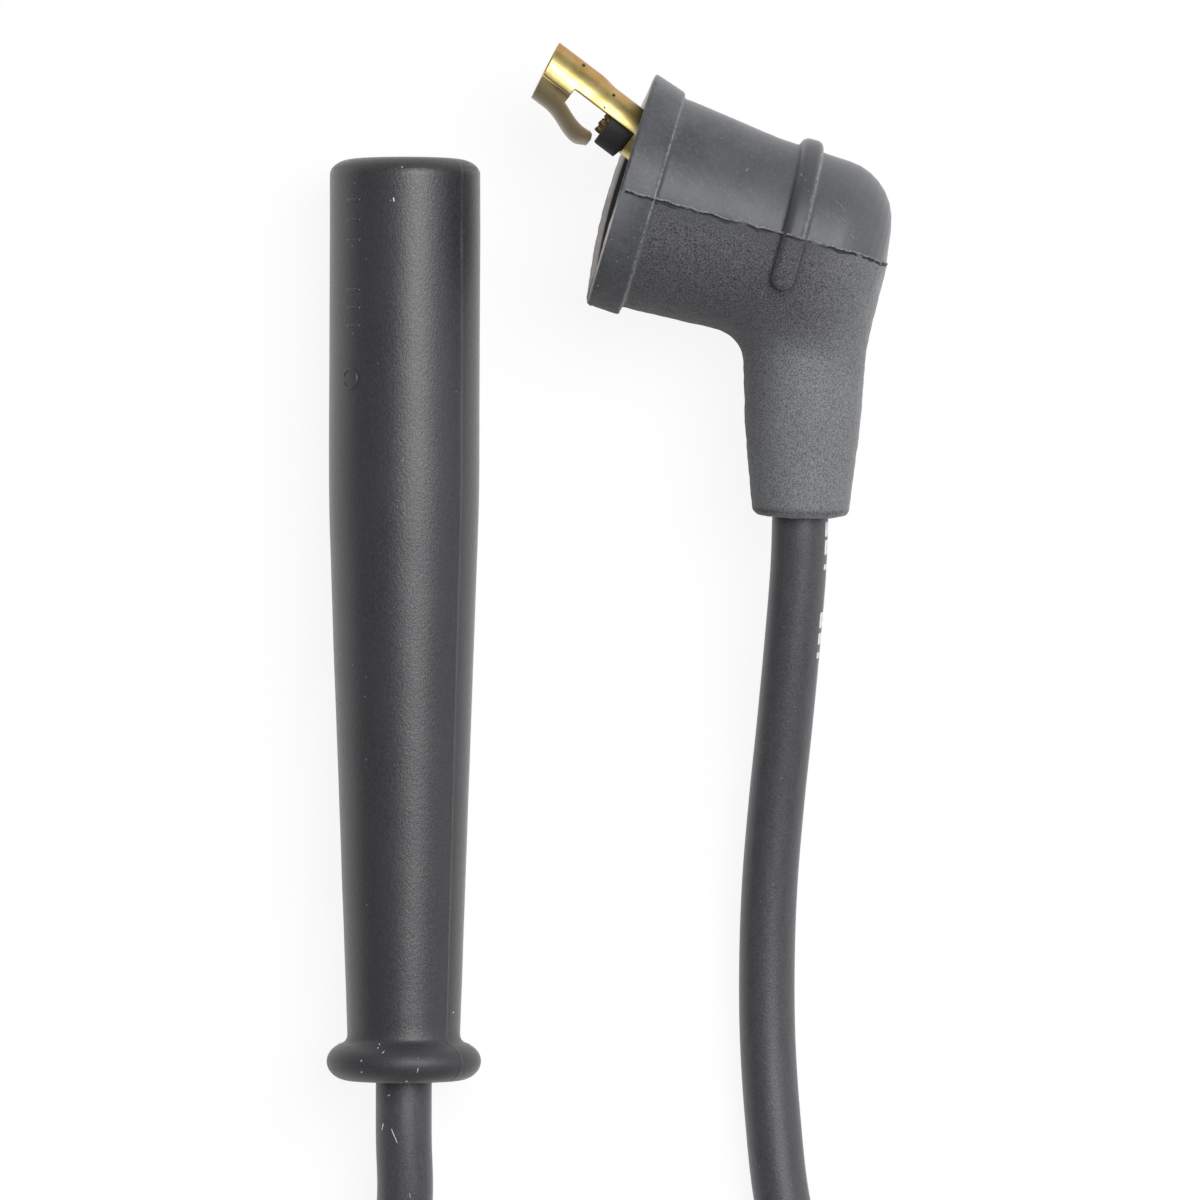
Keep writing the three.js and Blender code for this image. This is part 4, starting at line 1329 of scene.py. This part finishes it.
def rounded_box(size, middle, rounding):
    shape = bmesh.new()
    bmesh.ops.create_cube(shape, size=1)
    bmesh.ops.scale(shape, vec=size, verts=shape.verts)
    bmesh.ops.bevel(shape, geom=shape.edges[:], offset=rounding, segments=3, profile=0.6,
                    affect="EDGES", clamp_overlap=True)
    shape.verts.index_update()
    made = (np.array([v.co for v in shape.verts]) + middle,
            [[v.index for v in face.verts] for face in shape.faces])
    shape.free()
    return made


def make_tie():
    """A toothed band round both turns of the coil, its head and the end of its tail."""
    height = 2 * (CABLE_RADIUS + TIE_CLEARANCE)
    half = TIE_WIDTH / 2
    section = [(0, -half + 0.15), (0.15, -half), (0.6, -half), (0.78, -half + 0.2), (0.78, -1.1),
               (0.62, -0.95)]
    section += [(out, -z) for out, z in section[::-1]]
    band = []
    for i, ((x, y), (nx, ny)) in enumerate(stadium(TURN_PITCH + height, height, 28)):
        for out, z in section:
            out += TIE_TOOTH * (i % 2) * (abs(z) < 1 and out > 0.5)
            band.append((x + nx * out, y + ny * out, z))
    base = height / 2 + 0.3
    points, faces = gathered([
        (band, grid_faces(len(band) // len(section), len(section), close=True)),
        rounded_box(TIE_HEAD, (0, base + TIE_HEAD[1] / 2, 0), 0.45),
        rounded_box(TIE_TAIL, (-3.4, base + 1.15, 0), 0.25)])
    place = (COIL_AT[0], COIL_AT[1] - COIL_OUTER + TURN_PITCH / 2, TIE_RISE + CABLE_RADIUS)
    axes = turn("Z", TIE_AT * DEG) @ turn("X", math.pi / 2)
    made = piece("coil_tie_strap", points @ axes.T + place, faces, tie_nylon(), points)
    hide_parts("coil_tie")
    return made


# Kept solids

for node, finish in kept_finishes().items():
    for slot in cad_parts[node].material_slots:
        slot.material = finish

make_tie()


# Surroundings


FLOOR_HALF = 3000
FLOOR_HEIGHT = -0.05
ROOM_BRIGHTNESS = 0.2


def make_floor():
    """A white floor: bright to the camera and in reflections, yet with the object's shadow."""
    mesh = bpy.data.meshes.new("floor")
    corners = [(x * FLOOR_HALF, y * FLOOR_HALF, FLOOR_HEIGHT)
               for x, y in ((-1, -1), (1, -1), (1, 1), (-1, 1))]
    mesh.from_pydata([[v * MM for v in corner] for corner in corners], [], [(0, 1, 2, 3)])
    mesh.materials.append(bpy.data.materials.new("floor_white"))
    floor = linked("floor", mesh)
    nodes = Nodes(mesh.materials[0])
    rays = nodes.node("LightPath").outputs
    bright = nodes.most(rays["Is Camera Ray"], rays["Is Glossy Ray"])
    matt = nodes.node("BsdfDiffuse", {"Color": (0.82,) * 3}).outputs[0]
    glow = nodes.node("Emission", {"Strength": 1.05}).outputs[0]
    mixed = nodes.node("MixShader", {0: nodes.both(bright, 0.86), 1: matt, 2: glow}).outputs[0]
    nodes.node("OutputMaterial", {0: mixed})


def make_world():
    """White to the camera, and a dimmer room to all else."""
    world = bpy.data.worlds.new("studio")
    bpy.context.scene.world = world
    nodes = Nodes(world)
    room, seen = (nodes.node("Background", {"Color": (1,) * 3, "Strength": strength}).outputs[0]
                  for strength in (ROOM_BRIGHTNESS, 1))
    to_camera = nodes.node("LightPath").outputs["Is Camera Ray"]
    mixed = nodes.node("MixShader", {0: to_camera, 1: room, 2: seen}).outputs[0]
    nodes.node("OutputWorld", {0: mixed})


def softbox(name, direction, distance, size, radiance):
    """A round lamp that faces the object from a direction, given as its radiance."""
    lamp = bpy.data.lights.new(name, "AREA")
    lamp.shape = "DISK"
    lamp.size = size
    lamp.energy = radiance * math.pi ** 2 * (size / 2) ** 2
    made = linked(name, lamp)
    towards = Vector(direction).normalized()
    made.location = towards * distance
    made.rotation_mode = "QUATERNION"
    made.rotation_quaternion = towards.to_track_quat("Z", "Y")


make_floor()
make_world()
softbox("key", (0.33, 0.24, 0.92), 1.6, 1.16, 6.3)
softbox("side", (0.92, 0.12, 0.38), 1.6, 1.0, 0.8)
bpy.context.scene.view_settings.view_transform = "Standard"
